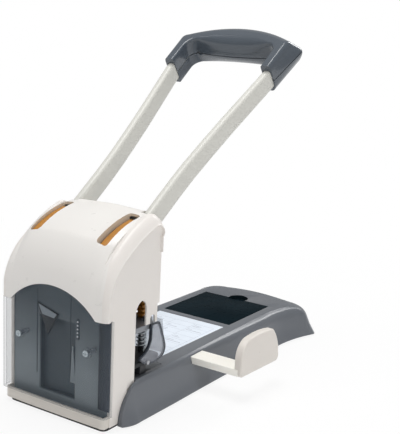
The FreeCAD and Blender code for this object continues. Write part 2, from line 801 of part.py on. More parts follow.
def shaft_clips():
    """An open retaining ring in the groove at each end of the shaft."""
    clips = []
    for side in (-1, 1):
        x = side * clip_x
        ring = rod_x(x - 0.5, x + 0.5, pivot_y, pivot_z, shaft_diameter + 5)
        bore = rod_x(x - 1, x + 1, pivot_y, pivot_z, shaft_diameter - 1.6)
        mouth = box(x - 1, x + 1, pivot_y - 2.6, pivot_y + 2.6, pivot_z - 12, pivot_z)
        clips.append(without(ring, bore, mouth))
    return clips


def shaft_bushes():
    """A flanged bush in each frame plate."""
    x0 = frame_inner
    x1 = frame_inner + frame_wall
    sleeve = rod_x(x0 - 0.5, x1, pivot_y, pivot_z, bush_diameter)
    flange = rod_x(x1, x1 + 1.2, pivot_y, pivot_z, bush_diameter + 4)
    bore = rod_x(x0 - 2, x1 + 3, pivot_y, pivot_z, shaft_diameter + 2 * running_gap)
    return both_sides(without(fused([sleeve, flange]), bore))


def spacer_sleeves():
    """The tubes on the shaft that keep each sector clear of its frame plate."""
    x0 = frame_inner + frame_wall + 1.2
    x1 = punch_x - gear_width / 2 - fit_gap
    tube = rod_x(x0, x1, pivot_y, pivot_z, shaft_diameter + 3)
    bore = rod_x(x0 - 1, x1 + 1, pivot_y, pivot_z, shaft_diameter + 2 * running_gap)
    return both_sides(without(tube, bore))


def rack_guide():
    """The cross plate behind the racks that keeps their teeth in the sectors."""
    plate = box(-punch_x - 8.0, punch_x + 8.0, frame_rear, frame_rear + guide_plate, frame_top - 49.0,
                frame_top - 29.0)
    return round_edges(plate, 1.0, lambda e: e.BoundBox.XLength > 50)


def rack_guide_screws():
    screws = []
    for side in (-1, 1):
        for z in (frame_top - 45.0, frame_top - 33.0):
            x = side * (frame_inner + frame_wall / 2)
            y = frame_rear + guide_plate
            head = cylinder((x, y, z), (0, 1, 0), 2.8, 1.4)
            slot = box(x - 3, x + 3, y + 0.8, y + 3, z - 0.4, z + 0.4)
            screws.append(without(head, slot))
    return screws


def block_screws():
    screws = []
    for y, z in block_screw_places:
        shank = rod_x(frame_inner - 1.0, frame_inner + frame_wall, y, z, 3.0)
        head = rod_x(frame_inner + frame_wall, frame_inner + frame_wall + 2.0, y, z, 6.0)
        screws += both_sides(fused([shank, head]))
    return screws


def die_screws():
    """Flush screws that hold the die plate down on the frame's lower jaws."""
    screws = []
    for side in (-1, 1):
        x = side * frame_middle
        body = rod_z(x, die_screw_y, jaw_top, table_top - 0.4, 6.0)
        slot = box(x - 3, x + 3, die_screw_y - 0.5, die_screw_y + 0.5, table_top - 1.4, table_top)
        screws.append(without(body, slot))
    return screws


def hood_section(x, front, brow, drop, inset):
    """The hood's outline on one plane of constant x: upright front, rounded brow, rising crown."""
    crown = hood_crown - drop - inset
    front = front + inset
    brow = brow + inset
    steps = [
        (front, head_low),
        (front, brow_z),
        ((brow + 6.2, brow_z + 31.5 - 0.5 * drop - 0.3 * inset), (brow + 19.5, brow_z + 51.0 - drop - 0.6 * inset)),
        ((-35.0, crown - 5.6), (-3.0, crown)),
        ((5.0, crown - 1.0), (hood_rear - inset, crown - 6.0)),
        (hood_rear - inset, head_low),
    ]
    return outline("yz", steps, x)


def hood_form(inset):
    half = hood_half + (1.0 if inset else 0.0)
    stations = [(0.0, 0.0, -0.5, 0.0), (24.0, 0.1, 0.2, 0.9), (43.0, 0.3, 1.9, 2.0), (half, 0.5, 3.9, 5.2)]
    right = [hood_section(x, cover_front + front, cover_front + brow, drop, inset)
             for x, front, brow, drop in stations]
    left = [hood_section(-x, cover_front + front, cover_front + brow, drop, inset)
            for x, front, brow, drop in stations[1:]]
    return Part.makeLoft(list(reversed(left)) + right, True, True)


def arch(extra):
    """The opening under the hood's front: round at the top, straight down from its corners."""
    half = arch_half + extra
    return [(-half, 0.0), (half, 0.0), (half, arch_corner_z), ((0.0, arch_crown_z + extra), (-half, arch_corner_z))]


def slot_cut(x0, x1, y0, y1):
    return prism("xy", rounded(x0, x1, y0, y1, 0.25 * (x1 - x0)), pivot_z + 1.0, hood_crown + 10.0)


def hood():
    shell = hood_form(0.0).cut(hood_form(hood_wall))
    wing = box(hood_half - 1.6, hood_half, 0.0, hood_rear - 1.0, arch_corner_z, hood_crown)
    wings = fused(both_sides(wing)).common(hood_form(0.0))
    shell = fused([shell, wings])
    below = box(-70.0, 70.0, -100.0, 40.0, 0.0, arch_corner_z)
    front_arch = prism("xz", arch(0.0), cover_front - 5.0, front_corner_y + 12.0)
    cuts = [below, front_arch]
    for side in (-1, 1):
        x0, x1 = sorted((side * slot_inner, side * slot_outer))
        cuts.append(slot_cut(x0, x1, slot_front, slot_back))
        x0, x1 = sorted((side * (punch_x - 2.6), side * (punch_x + 8.2)))
        cuts.append(box(x0, x1, arm_exit, hood_rear + 5.0, pivot_z + 1.0, hood_crown + 5.0))
        cuts.append(box(x0, x1, hood_rear - 6.0, hood_rear + 5.0, pivot_z - 12.0, pivot_z + 11.0))
    corners = both_sides(cheek_rim().common(corner_wedge()))
    return fused([without(shell, *cuts)] + corners)


def corner_wedge():
    """The part of the head's front corner that belongs to the hood: it narrows out above the brow."""
    steps = [
        (hood_half, arch_corner_z),
        (front_edge, arch_corner_z),
        (front_edge, brow_z + 12.0),
        ((front_edge - 2.0, brow_z + 28.0), (hood_half, brow_z + 44.0)),
    ]
    return prism("xz", steps, cover_front - 10.0, pivot_y)


def cheek_section(x, front, drop):
    """The cheek's outline on one plane of constant x, drawn in at the front and lowered along the top."""
    crown = hood_crown - drop
    steps = [
        (front_corner_y + front, head_low),
        (front_corner_y + front, brow_z),
        ((-71.0 + 0.5 * front + 0.3 * drop, brow_z + 28.0 - 0.55 * drop),
         (-57.0 + 0.45 * drop, brow_z + 42.5 - 0.68 * drop)),
        ((-36.0 + 0.4 * drop, brow_z + 57.5 - 0.9 * drop), (-13.0 + 0.2 * drop, crown - 0.9)),
        ((-4.5, crown - 1.7), (0.0 - 0.1 * drop, crown - 5.5 + 0.1 * drop)),
        ((2.9 - 0.3 * drop, crown - 9.5 + 0.3 * drop), (3.4 - 0.55 * drop, crown - 15.5 + 0.4 * drop)),
        (2.0 - 0.4 * drop, head_low),
    ]
    return outline("yz", steps, x)


def cheek_rim():
    """The rounded shell over the head's right-hand edge."""
    rim = Part.makeLoft([
        cheek_section(hood_half, 0.0, 0.0),
        cheek_section(hood_half + 4.5, 0.1, 0.0),
        cheek_section(head_half - 1.5, 0.7, 3.2),
        cheek_section(front_half - 1.0, 2.4, 7.5),
        cheek_section(front_half, front_side_y - front_corner_y, 8.8),
        cheek_section(head_half, front_return_y - front_corner_y, 10.2),
    ], True, True)
    hollow = Part.makeLoft([
        cheek_section(hood_half - 1.0, 3.0, 3.2),
        cheek_section(hood_half + 4.0, 3.0, 3.4),
        cheek_section(head_half - panel_wall, 3.2, 7.0),
    ], True, True)
    return rim.cut([hollow, box(0.0, 90.0, -100.0, 40.0, 0.0, arch_corner_z)])


def cheek():
    """The right-hand side panel: the rounded rim and a flat side with its window and a shallow relief."""
    side = box(head_half - panel_wall, head_half, front_return_y, cheek_rear, mat_thickness, arch_corner_z + 1.0)
    window = prism("yz", [
        (window_front, -5.0),
        (cheek_rear + 10.0, -5.0),
        (cheek_rear + 10.0, strip_bottom),
        (window_back, strip_bottom),
        (window_back, window_crown - 10.0),
        ((window_back - 1.8, window_crown - 3.0), (0.45 * window_front + 0.55 * window_back, window_crown)),
        ((window_front + 2.4, window_crown - 4.0), (window_front, window_crown - 13.0)),
    ], hood_half - 10.0, head_half + 20.0)
    notch = prism("yz", [
        (notch_front, strip_bottom - 2.0),
        (notch_back, strip_bottom - 2.0),
        (notch_back, notch_crown - 3.5),
        ((0.5 * (notch_front + notch_back), notch_crown), (notch_front, notch_crown - 3.5)),
    ], hood_half - 10.0, head_half + 20.0)
    relief = prism("yz", [
        (window_front - 12.0, 50.0),
        ((window_front - 14.0, 80.0), (window_front - 12.0, 107.0)),
        ((window_front - 5.0, pivot_z - 20.0), (pivot_y + 14.0, pivot_z - 4.5)),
        (cheek_rear + 10.0, pivot_z + 6.0),
        (cheek_rear + 10.0, -5.0),
        (window_front - 12.0, -5.0),
    ], head_half - cheek_relief, head_half + 20.0)
    return without(fused([cheek_rim().cut(corner_wedge()), side]), window, notch, relief)


def front_plan(inset):
    """The front's outline in plan: almost flat, with round corners and a short return at each side."""
    side = front_half - inset
    edge_y = front_corner_y + inset
    edge_x = front_edge - inset
    turn_x = edge_x + 0.7 * (side - edge_x)
    turn_y = edge_y + 0.3 * (front_side_y - edge_y)
    return [
        (-side, front_return_y),
        (-side, front_side_y),
        ((-turn_x, turn_y), (-edge_x, edge_y)),
        ((0.0, cover_front + inset), (edge_x, edge_y)),
        ((turn_x, turn_y), (side, front_side_y)),
        (side, front_return_y),
    ]


def front_wall(inset, z0, z1):
    """A thin upright wall that follows the front in plan."""
    outer = prism("xy", front_plan(inset), z0, z1)
    inner = prism("xy", front_plan(inset + cover_wall), z0 - 1.0, z1 + 1.0)
    return outer.cut(inner)


def front_cover():
    """The smoke-tinted window: flat in plan, arched at the top to fit under the hood."""
    shell = front_wall(0.0, cover_bottom, arch_crown_z + 5.0)
    low = box(-70.0, 70.0, -100.0, -50.0, 0.0, arch_corner_z - fit_gap)
    high = prism("xz", arch(-fit_gap), -100.0, -50.0)
    shell = shell.common(fused([low, high]))
    bosses = [cylinder((x, cover_seat_y, cover_screw_z), (0, 1, 0), 5.0, cover_boss_end - cover_seat_y)
              for x in cover_screw_x]
    shell = fused([shell] + bosses)
    cuts = []
    for x in cover_screw_x:
        cuts.append(cylinder((x, cover_seat_y - 10.0, cover_screw_z), (0, 1, 0), 3.6, 10.0))
        cuts.append(cylinder((x, cover_seat_y - 10.0, cover_screw_z), (0, 1, 0), 1.7, 20.0))
    return without(shell, *cuts)


def cover_screws():
    screws = []
    for x in cover_screw_x:
        y = cover_seat_y
        shank = cylinder((x, y - 0.4, cover_screw_z), (0, 1, 0), 1.5, panel_y - y + 3.0)
        head = cylinder((x, y - 1.5, cover_screw_z), (0, 1, 0), 3.0, 1.5)
        slots = [box(x - 2.2, x + 2.2, y - 2, y - 0.9, cover_screw_z - 0.45, cover_screw_z + 0.45),
                 box(x - 0.45, x + 0.45, y - 2, y - 0.9, cover_screw_z - 2.2, cover_screw_z + 2.2)]
        screws.append(without(fused([shank, head]), *slots))
    return screws


def front_sill():
    """The pale band that closes the head below the cover."""
    return front_wall(sill_inset, mat_thickness, cover_bottom - fit_gap)


def inner_panel():
    """The grey wall behind the cover, with its deep pocket and its screw posts."""
    y0 = panel_y
    y1 = panel_y + 2.0
    plate = box(-head_half + panel_wall + 0.2, head_half - panel_wall - 0.2, y0, y1, floor_top, arch_crown_z - 2.8)
    pocket = box(pocket_left - 1.5, pocket_right + 1.5, y0, frame_front - fit_gap, pocket_bottom - 1.5,
                 pocket_top + 1.5)
    room = box(pocket_left, pocket_right, y0 - 1.0, frame_front - fit_gap - 1.5, pocket_bottom, pocket_top)
    posts = []
    bores = []
    for x in cover_screw_x:
        posts.append(cylinder((x, cover_boss_end + 0.1, cover_screw_z), (0, 1, 0), 4.0, y0 - cover_boss_end + 0.5))
        bores.append(cylinder((x, cover_boss_end - 1.0, cover_screw_z), (0, 1, 0), 1.5, 14.0))
    ribs = [box(x - 0.6, x + 0.6, y0 - 1.2, y0 + 0.5, pocket_bottom + 6.0, arch_crown_z - 7.0) for x in rib_x]
    return without(fused([plate, pocket] + posts + ribs), room, *bores)


def side_seal():
    """The dark strip behind the cover's right-hand corner."""
    return box(head_half - 13.0, head_half - 0.4, front_return_y - 1.2, front_return_y,
               pocket_bottom, arch_corner_z - fit_gap)


def pocket_blade():
    """The pale upright vane inside the pocket."""
    return box(pocket_right - 9.0, pocket_right - 7.6, panel_y + 0.4, frame_front - fit_gap - 1.5,
               pocket_bottom, 66.0)


def pointer_plate():
    steps = [(-27.5, 101.5), (-14.0, 62.0 + 11.0), (-1.5, 94.5)]
    return prism("xz", steps, panel_y - 1.6, panel_y)


def depth_scale():
    """The narrow strip of plain dots beside the pocket."""
    strip = box(pocket_right + 1.0, pocket_right + 5.0, panel_y - 0.8, panel_y, 76.0, 95.0)
    dots = [cylinder((pocket_right + 3.0, panel_y - 1.1, 79.0 + 3.4 * i), (0, 1, 0), 0.7, 0.6) for i in range(5)]
    return fused([strip] + dots)


def finger_guard():
    """The clear shield round the punches: a bellied sheet between two hook-shaped ends."""
    wall = 2.2
    outer = [(8.5, bar_top), ((10.9, 68.0), (11.2, 60.0)), ((11.0, 55.5), (10.2, block_top + 0.5))]
    inner = [(10.2 - wall, block_top + 0.5), ((11.0 - wall, 55.5), (11.2 - wall, 60.0)),
             ((10.9 - wall, 68.0), (8.5 - wall, bar_top))]
    sheet = prism("yz", outer + inner, -head_half + 2.4, head_half - 2.4)
    end = prism("yz", [
        (1.0, bar_top),
        ((6.8, 72.0), (11.2, 60.0)),
        ((10.4, 52.0), (5.0, 47.6)),
        ((-3.0, guide_bottom + 0.1), (-12.0, guide_bottom + 0.1)),
        ((-20.0, 48.4), (-27.5, 54.0)),
        (-25.5, 56.6),
        ((-15.5, 62.0), (-11.2, 71.0)),
        (-10.8, bar_top),
    ], head_half - 2.5, head_half)
    ends = both_sides(end)
    bores = []
    for side in (-1, 1):
        x0, x1 = sorted((side * (block_half - 1.0), side * (head_half + 1.0)))
        bores.append(rod_x(x0, x1, guard_screw_y, guard_screw_z, 2.6))
        x0, x1 = sorted((side * (head_half - 1.0), side * (head_half + 1.0)))
        bores.append(rod_x(x0, x1, guard_screw_y, guard_screw_z, 4.1))
    return without(fused([sheet] + ends), *bores)


def guard_screws():
    shank = rod_x(block_half - 6.0, head_half, guard_screw_y, guard_screw_z, 2.5)
    head = rod_x(head_half - 1.0, head_half, guard_screw_y, guard_screw_z, 4.0)
    return both_sides(fused([shank, head]))


def arm_section(along, inner_x, width, depth):
    """The arm's section across its length: a rectangle with round corners."""
    steps = rounded(inner_x, inner_x + width, -depth / 2, depth / 2, arm_round)
    return placed_outline(steps, lambda point: on_arm(point[0], along, point[1]))


def arm_rail():
    stations = [(arm_start, 38.4), (90.0, 39.1), (115.0, 40.2), (145.0, 42.8), (180.0, 46.3), (210.0, 50.0),
                (245.0, 54.4), (262.0, 56.2), (arm_end, 58.0)]
    return Part.makeLoft([arm_section(s, x, arm_width, arm_depth) for s, x in stations], True, True)


def arm():
    """The right-hand arm: a plate on the shaft, then a rail that splays towards the grip."""
    rail = arm_rail()
    hub = rod_x(plate_inner, plate_outer, pivot_y, pivot_z, 27.0)
    half = hub_half
    corners = [on_arm(plate_inner, 0.0, -half), on_arm(plate_inner, arm_start + 6.0, -half),
               on_arm(plate_inner, arm_start + 6.0, half), on_arm(plate_inner, 0.0, half)]
    neck = Part.Face(Part.makePolygon(corners + corners[:1])).extrude(V(arm_plate, 0, 0))
    bores = [rod_x(plate_inner - 1, plate_outer + 1, pivot_y, pivot_z, shaft_diameter + 2 * running_gap)]
    bores += [rod_x(plate_inner - 1, plate_outer + 1, p.y, p.z, 4.0) for p in sector_bolt_places()]
    end = on_arm(0.0, core_along, 0.0)
    bores.append(rod_x(50.0, 75.0, end.y, end.z, 4.0))
    return without(fused([rail, hub, neck]), *bores)


def bulged(start, end, share):
    """A point beside the middle of start and end, out to the left by a share of their distance."""
    return ((start[0] + end[0]) / 2 - (end[1] - start[1]) * share,
            (start[1] + end[1]) / 2 + (end[0] - start[0]) * share)


def grip_plan(level):
    """The grip's outline in the arms' plane, at one height across the arms: a U with a thick bar."""
    across, rim_in, knee_in, shoulder_in, crown_in, rim_out, knee_out, shoulder_out, crown_out = level
    right = [
        (rim_out, grip_start),
        knee_out,
        (bulged(knee_out, shoulder_out, -0.2), shoulder_out),
    ]
    inner_left = [
        (-rim_in, grip_start),
        (-knee_in[0], knee_in[1]),
        (bulged((-knee_in[0], knee_in[1]), (-shoulder_in[0], shoulder_in[1]), 0.2),
         (-shoulder_in[0], shoulder_in[1])),
    ]
    knee_left = (-knee_out[0], knee_out[1])
    shoulder_left = (-shoulder_out[0], shoulder_out[1])
    steps = right + [
        ((0.0, crown_out), shoulder_left),
        (bulged(shoulder_left, knee_left, -0.2), knee_left),
        (-rim_out, grip_start),
    ] + inner_left + [
        ((0.0, crown_in), shoulder_in),
        (bulged(shoulder_in, knee_in, 0.2), knee_in),
        (rim_in, grip_start),
    ]
    return placed_outline(steps, lambda point: on_arm(point[0], point[1], across))


def grip_halves():
    """The upper and the lower shell, which meet at the seam."""
    top = Part.makeLoft([grip_plan(level) for level in grip_levels[2:]], True, True)
    bottom = Part.makeLoft([grip_plan(level) for level in grip_levels[:3]], True, True)
    end = on_arm(0.0, core_along, 0.0)
    core = rod_x(-grip_core_half, grip_core_half, end.y, end.z, core_diameter)
    tools = both_sides(arm()) + [core] + grip_screws() + core_screws()
    return without(top, *tools), without(bottom, *tools)


def grip_core():
    """The steel tube between the arms inside the grip."""
    end = on_arm(0.0, core_along, 0.0)
    tube = rod_x(-grip_core_half, grip_core_half, end.y, end.z, core_diameter)
    bore = rod_x(-grip_core_half - 1, grip_core_half + 1, end.y, end.z, 4.0)
    return max(without(tube, bore, *both_sides(arm_rail())).Solids, key=lambda solid: solid.Volume)


def core_screws():
    end = on_arm(0.0, core_along, 0.0)
    shank = rod_x(44.0, 67.0, end.y, end.z, 4.0)
    return both_sides(shank)


def grip_screws():
    """Screws that close the two grip shells, from below."""
    screws = []
    way = on_arm(0, 0, 1) - on_arm(0, 0, 0)
    for x in (-36.0, -12.0, 12.0, 36.0):
        foot = on_arm(x, grip_screw_along, grip_low + 2.0)
        shank = Part.makeCylinder(1.5, 20.0, foot, way)
        head = Part.makeCylinder(2.8, 2.0, foot - way * 2.0, way)
        screws.append(fused([shank, head]))
    return screws


def format_card():
    return box(-card_half, card_half, card_near, card_far, table_top - card_thickness, table_top)


def tray_lid():
    """The dark lid with its hinge rib and its thumb notch."""
    plate = box(-lid_half, lid_half, lid_near, lid_far, lid_bottom, table_top)
    plate = round_edges(plate, 1.0, lambda e: e.BoundBox.YMax < lid_near + 0.01 and e.BoundBox.XLength > 50)
    rib = rod_x(-lid_half + 5.0, lid_half - 5.0, lid_pin_y, lid_pin_z, lid_pin_diameter + 3.0)
    rib = rib.common(box(-lid_half, lid_half, lid_near, lid_far, 0.0, table_top - 0.5))
    thumb = rod_z(0.0, lid_far + thumb_offset, table_top - 1.2, table_top + 1.0, 2 * thumb_radius)
    bore = rod_x(-lid_half - 1, lid_half + 1, lid_pin_y, lid_pin_z, lid_pin_diameter + 2 * running_gap)
    return without(fused([plate, rib]), thumb, bore)


def lid_pin():
    return rod_x(-lid_half - 3.5, lid_half + 3.5, lid_pin_y, lid_pin_z, lid_pin_diameter)


def storage_tray():
    x = lid_half - 3.0 - fit_gap
    y0 = lid_pin_y + 3.2
    y1 = lid_far - 1.0
    z1 = lid_bottom - 0.2
    z0 = floor_top
    outer = prism("xy", rounded(-x, x, y0, y1, 3.0), z0, z1)
    inner = prism("xy", rounded(-x + tray_wall, x - tray_wall, y0 + tray_wall, y1 - tray_wall, 2.0),
                  z0 + tray_wall, z1 + 1.0)
    return outer.cut(inner)


def spare_punches():
    z = floor_top + tray_wall + hole_diameter / 2
    pins = []
    for x in (24.0, 33.0):
        pins.append(cylinder((x, lid_pin_y + 14.0, z), (0, 1, 0), hole_diameter / 2, bar_bottom - punch_tip))
    return pins


def guide_rail():
    rail = box(rail_inner_end, paddle_inner + 4.0, rail_near, rail_far, rail_bottom, rail_top)
    return round_edges(rail, 0.8, lambda e: e.BoundBox.XLength > 50)


def guide_paddle():
    """The upright plate that the paper's edge is set against."""
    steps = [
        (paddle_near + 3.0, paddle_bottom + 2.4),
        (paddle_far - 6.0, paddle_bottom),
        ((paddle_far - 1.0, paddle_bottom + 1.8), (paddle_far, paddle_bottom + 8.0)),
        ((paddle_far - 3.5, paddle_top - 15.0), (paddle_far - 13.0, paddle_top - 1.8)),
        ((0.5 * (paddle_near + paddle_far), paddle_top + 1.0), (paddle_near + 14.0, paddle_top)),
        ((paddle_near + 4.5, paddle_top - 6.0), (paddle_near, paddle_top - 20.0)),
        (paddle_near, paddle_bottom + 6.5),
        ((paddle_near + 0.8, paddle_bottom + 3.6), (paddle_near + 3.0, paddle_bottom + 2.4)),
    ]
    plate = prism("yz", steps, paddle_inner, paddle_inner + paddle_thickness)
    plate = round_edges(plate, 2.6, lambda e: e.BoundBox.XMin > paddle_inner + paddle_thickness - 0.01)
    socket = box(paddle_inner - 1, paddle_inner + 4.0, rail_near - 1.0, rail_far, rail_bottom, rail_top)
    return without(plate, socket)


def chip_drawer():
    """The drawer that catches the chips, its front flush with the skirt."""
    front = base_form(0.0).common(box(-90.0, -61.0, -drawer_half, drawer_half, drawer_bottom, drawer_top))
    tub = box(-61.5, drawer_end, -drawer_half, drawer_half, drawer_bottom, drawer_top)
    room = box(-60.0, drawer_end - drawer_wall, -drawer_half + drawer_wall, drawer_half - drawer_wall,
               drawer_bottom + drawer_wall, drawer_top + 1.0)
    finger = cylinder((-64.0, 0.0, drawer_top + 3.0), (-1, 0, 0), 8.0, 12.0)
    return without(fused([front, tub]), room, finger)


def write_all():
    save("base_shell", base_shell())
    save("floor_plate", floor_plate())
    save("rubber_mat", rubber_mat())
    save("rear_feet", *rubber_feet())
    save("base_screws", *base_screws())
    save("format_card", format_card())
    save("storage_tray", storage_tray())
    save("spare_punches", *spare_punches())
    save("tray_lid", tray_lid())
    save("lid_pin", lid_pin())
    save("hood", hood())
    save_pair("cheek", cheek())
    save("front_cover", front_cover())
    save("cover_screws", *cover_screws())
    save("front_sill", front_sill())
    save("inner_panel", inner_panel())
    save("side_seal", side_seal())
    save("pocket_blade", pocket_blade())
    save("pointer_plate", pointer_plate())
    save("depth_scale", depth_scale())
    save_pair("frame", frame_plate())
    save("frame_bolts", *frame_bolts())
    save("tie_rods", *tie_rods())
    save("pivot_shaft", pivot_shaft())
    save("shaft_clips", *shaft_clips())
    save("shaft_bushes", *shaft_bushes())
    save("spacer_sleeves", *spacer_sleeves())
    save("rack_guide", rack_guide())
    save("rack_guide_screws", *rack_guide_screws())
    save("guide_block", guide_block())
    save("block_screws", *block_screws())
    save("die_plate", die_plate())
    save("die_screws", *die_screws())
    save("paper_stop", paper_stop())
    save("finger_guard", finger_guard())
    save("guard_screws", *guard_screws())
    save_pair("arm", arm())
    save_pair("sector", sector())
    save("sector_bolts", *sector_bolts())
    top, bottom = grip_halves()
    save("grip_top", top)
    save("grip_bottom", bottom)
    save("grip_core", grip_core())
    save("core_screws", *core_screws())
    save("grip_screws", *grip_screws())
    save("pressure_bar", pressure_bar())
    save_pair("rack", rack())
    save("rack_clamps", *rack_clamps())
    save_pair("punch", punch())
    save_pair("return_spring", return_spring())
    save("guide_rail", guide_rail())
    save("guide_paddle", guide_paddle())
    save("chip_drawer", chip_drawer())


os.makedirs("parts", exist_ok=True)
write_all()
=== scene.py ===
import bmesh
import bpy
import math
from mathutils import Matrix, Vector


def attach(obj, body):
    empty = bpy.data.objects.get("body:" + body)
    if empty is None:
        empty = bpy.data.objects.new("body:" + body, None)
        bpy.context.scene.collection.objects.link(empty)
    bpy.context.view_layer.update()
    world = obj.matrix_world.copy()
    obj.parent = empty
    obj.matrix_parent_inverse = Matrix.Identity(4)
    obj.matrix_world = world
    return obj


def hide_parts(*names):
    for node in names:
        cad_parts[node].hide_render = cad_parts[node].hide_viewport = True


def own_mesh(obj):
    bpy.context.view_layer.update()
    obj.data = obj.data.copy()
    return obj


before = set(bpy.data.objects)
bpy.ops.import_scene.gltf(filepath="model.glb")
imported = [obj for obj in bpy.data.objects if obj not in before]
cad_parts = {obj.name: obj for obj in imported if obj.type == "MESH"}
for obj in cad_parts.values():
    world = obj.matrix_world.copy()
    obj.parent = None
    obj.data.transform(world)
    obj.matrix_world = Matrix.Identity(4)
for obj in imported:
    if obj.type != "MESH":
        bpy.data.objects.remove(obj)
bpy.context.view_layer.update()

MM = 0.001

# Sizes in millimetres, in the model's frame
table_top = 37.0
base_bottom = 1.5
base_front = -62.0
base_far = 297.0
taper_start = 15.0
flare_start = 205.0
cover_front = -80.5
corner_y = -80.0
window_front = -34.0
hood_half = 50.0
hood_crown = 186.5
hood_rear = 12.0
hood_wall = 2.6
arch_half = 50.0
arch_corner_z = 102.4
arch_crown_z = 124.8
head_half = 60.0
front_edge = 57.0
front_half = 62.5
brow_z = 118.0
cheek_relief = 1.3
left_sink = 3.2
slot_inner = 33.0
slot_outer = 45.0
slot_front = -61.5
slot_back = -13.0
slot_corner = 3.2
slot_wall = 1.3
slot_depth = 9.5
arm_room_inner = 38.0
arm_room_outer = 47.3
pivot_y = -32.0
pivot_z = 149.0
handle_rise = math.radians(36.0)
arm_width = 8.5
arm_depth = 21.0
seam_across = -1.5
part_gap = 0.3
room_floor = 5.5
room_top = table_top + 5.0
die_room_half = 54.3
die_room_back = 14.3
card_half = 42.3
card_front = 21.7
card_back = 143.3
card_recess = 0.62
lid_half = 43.3
lid_front = 152.3
lid_back = 238.3
thumb_y = 242.0
thumb_radius = 11.5
thumb_depth = 4.5
rail_front = 53.7
rail_back = 76.3
rail_low = 26.7
rail_high = 34.5
drawer_half = 16.3
drawer_high = 22.3
node_edge = 0.35
guard_inner = 57.6
guard_outer = 59.9
guard_wall = 2.2
panel_front = -68.0
pocket_left = -25.0
pocket_right = 18.0
pocket_low = 18.0
pocket_high = 90.0

# The base from its underside to the table. Each level: z; half the front's width; half the width beside
# the head, at the waist and at the far right corner; the corners' y; the far edge's y; the corners'
# radius; half the width at the far left corner.
base_levels = [
    (base_bottom, 62.5, 71.0, 70.5, 83.0, base_far - 7.0, base_far, 10.0, 82.5),
    (14.0, 62.0, 66.5, 66.0, 79.0, base_far - 12.0, base_far - 5.0, 12.0, 76.5),
    (table_top - 9.0, 61.7, 63.5, 62.5, 75.0, base_far - 16.0, base_far - 10.0, 14.0, 69.5),
    (table_top - 3.0, 61.5, 62.0, 59.0, 69.0, base_far - 19.0, base_far - 13.0, 16.0, 58.5),
    (table_top, 60.5, 59.5, 53.0, 59.0, base_far - 25.0, base_far - 18.5, 18.0, 52.0),
]

# Each arm's inner face: the distance along the arm, and x there
arm_stations = [(42.0, 38.4), (90.0, 39.1), (115.0, 40.2), (145.0, 42.8), (180.0, 46.3), (210.0, 50.0),
                (245.0, 54.4), (262.0, 56.2), (303.0, 58.0)]

# The camera: where it stands, in metres, and the directions of its right side, its top and its view
camera_place = (0.53175, -0.65789, 0.36201)
camera_right = Vector((0.82955, 0.55664, 0.04473))
camera_up = Vector((-0.15576, 0.15372, 0.97575))
camera_ahead = Vector((-0.53627, 0.81640, -0.21422))
camera_lens = 76.38

# The lamps: name; place, target and size in metres; power in watts
lamps = [
    ("top", (-0.1, -0.1, 1.8), (0.0, 0.05, 0.1), (1.0, 1.0), 19.0),
    ("fill", (1.7, -0.3, 0.8), (0.0, 0.05, 0.12), (1.0, 1.0), 5.0),
    ("back", (0.15, 1.95, 1.4), (0.0, 0.15, 0.05), (0.5, 0.9), 10.0),
]

# The light that the surroundings give to surfaces, and the brightness that the camera sees
world_light = 0.42
white_light = 1.0

# The places of the mix node's sockets when it mixes colours
mix_share = 0
mix_first = 6
mix_second = 7
mix_result = 2

# Corners of a CAD mesh that lie closer than this, in metres, count as one
weld_gap = 0.00001


def tone(red, green, blue):
    """A colour written as 8-bit sRGB, as the shaders want it."""
    def linear(value):
        share = value / 255.0
        return share / 12.92 if share <= 0.04045 else ((share + 0.055) / 1.055) ** 2.4
    return (linear(red), linear(green), linear(blue), 1.0)


def arc_points(start, through, end, count):
    """Points on the circle through three points of a plane, after start and up to end."""
    (ax, ay), (bx, by), (cx, cy) = start, through, end
    det = 2 * (ax * (by - cy) + bx * (cy - ay) + cx * (ay - by))
    if abs(det) < 1e-7:
        return [(ax + (cx - ax) * i / count, ay + (cy - ay) * i / count) for i in range(1, count + 1)]
    sa, sb, sc = ax * ax + ay * ay, bx * bx + by * by, cx * cx + cy * cy
    ox = (sa * (by - cy) + sb * (cy - ay) + sc * (ay - by)) / det
    oy = (sa * (cx - bx) + sb * (ax - cx) + sc * (bx - ax)) / det
    radius = math.hypot(ax - ox, ay - oy)
    first = math.atan2(ay - oy, ax - ox)
    middle = (math.atan2(by - oy, bx - ox) - first) % (2 * math.pi)
    sweep = (math.atan2(cy - oy, cx - ox) - first) % (2 * math.pi)
    if middle > sweep:
        sweep -= 2 * math.pi
    angles = [first + sweep * i / count for i in range(1, count + 1)]
    return [(ox + radius * math.cos(angle), oy + radius * math.sin(angle)) for angle in angles]


def path(steps, count=12, straight=4):
    """Samples an outline. A step is a corner, or an arc: (a point passed, the point reached)."""
    points = [steps[0]]
    for step in steps[1:]:
        here = points[-1]
        if isinstance(step[0], tuple):
            points += arc_points(here, step[0], step[1], count)
        else:
            across, along = step[0] - here[0], step[1] - here[1]
            points += [(here[0] + across * i / straight, here[1] + along * i / straight)
                       for i in range(1, straight + 1)]
    return points


def spline(knots, at):
    """A smooth value between (place, value) pairs, which may hold several numbers."""
    places = [knot[0] for knot in knots]
    i = 0
    while i < len(knots) - 2 and at > places[i + 1]:
        i += 1
    span = places[i + 1] - places[i]
    t = min(1.0, max(0.0, (at - places[i]) / span))

    def slope(k, which):
        before, after = max(0, k - 1), min(len(knots) - 1, k + 1)
        return (knots[after][which] - knots[before][which]) / (places[after] - places[before])

    values = []
    for which in range(1, len(knots[0])):
        a, b = knots[i][which], knots[i + 1][which]
        ma, mb = slope(i, which) * span, slope(i + 1, which) * span
        values.append((2 * t ** 3 - 3 * t ** 2 + 1) * a + (t ** 3 - 2 * t ** 2 + t) * ma
                      + (3 * t ** 2 - 2 * t ** 3) * b + (t ** 3 - t ** 2) * mb)
    return values


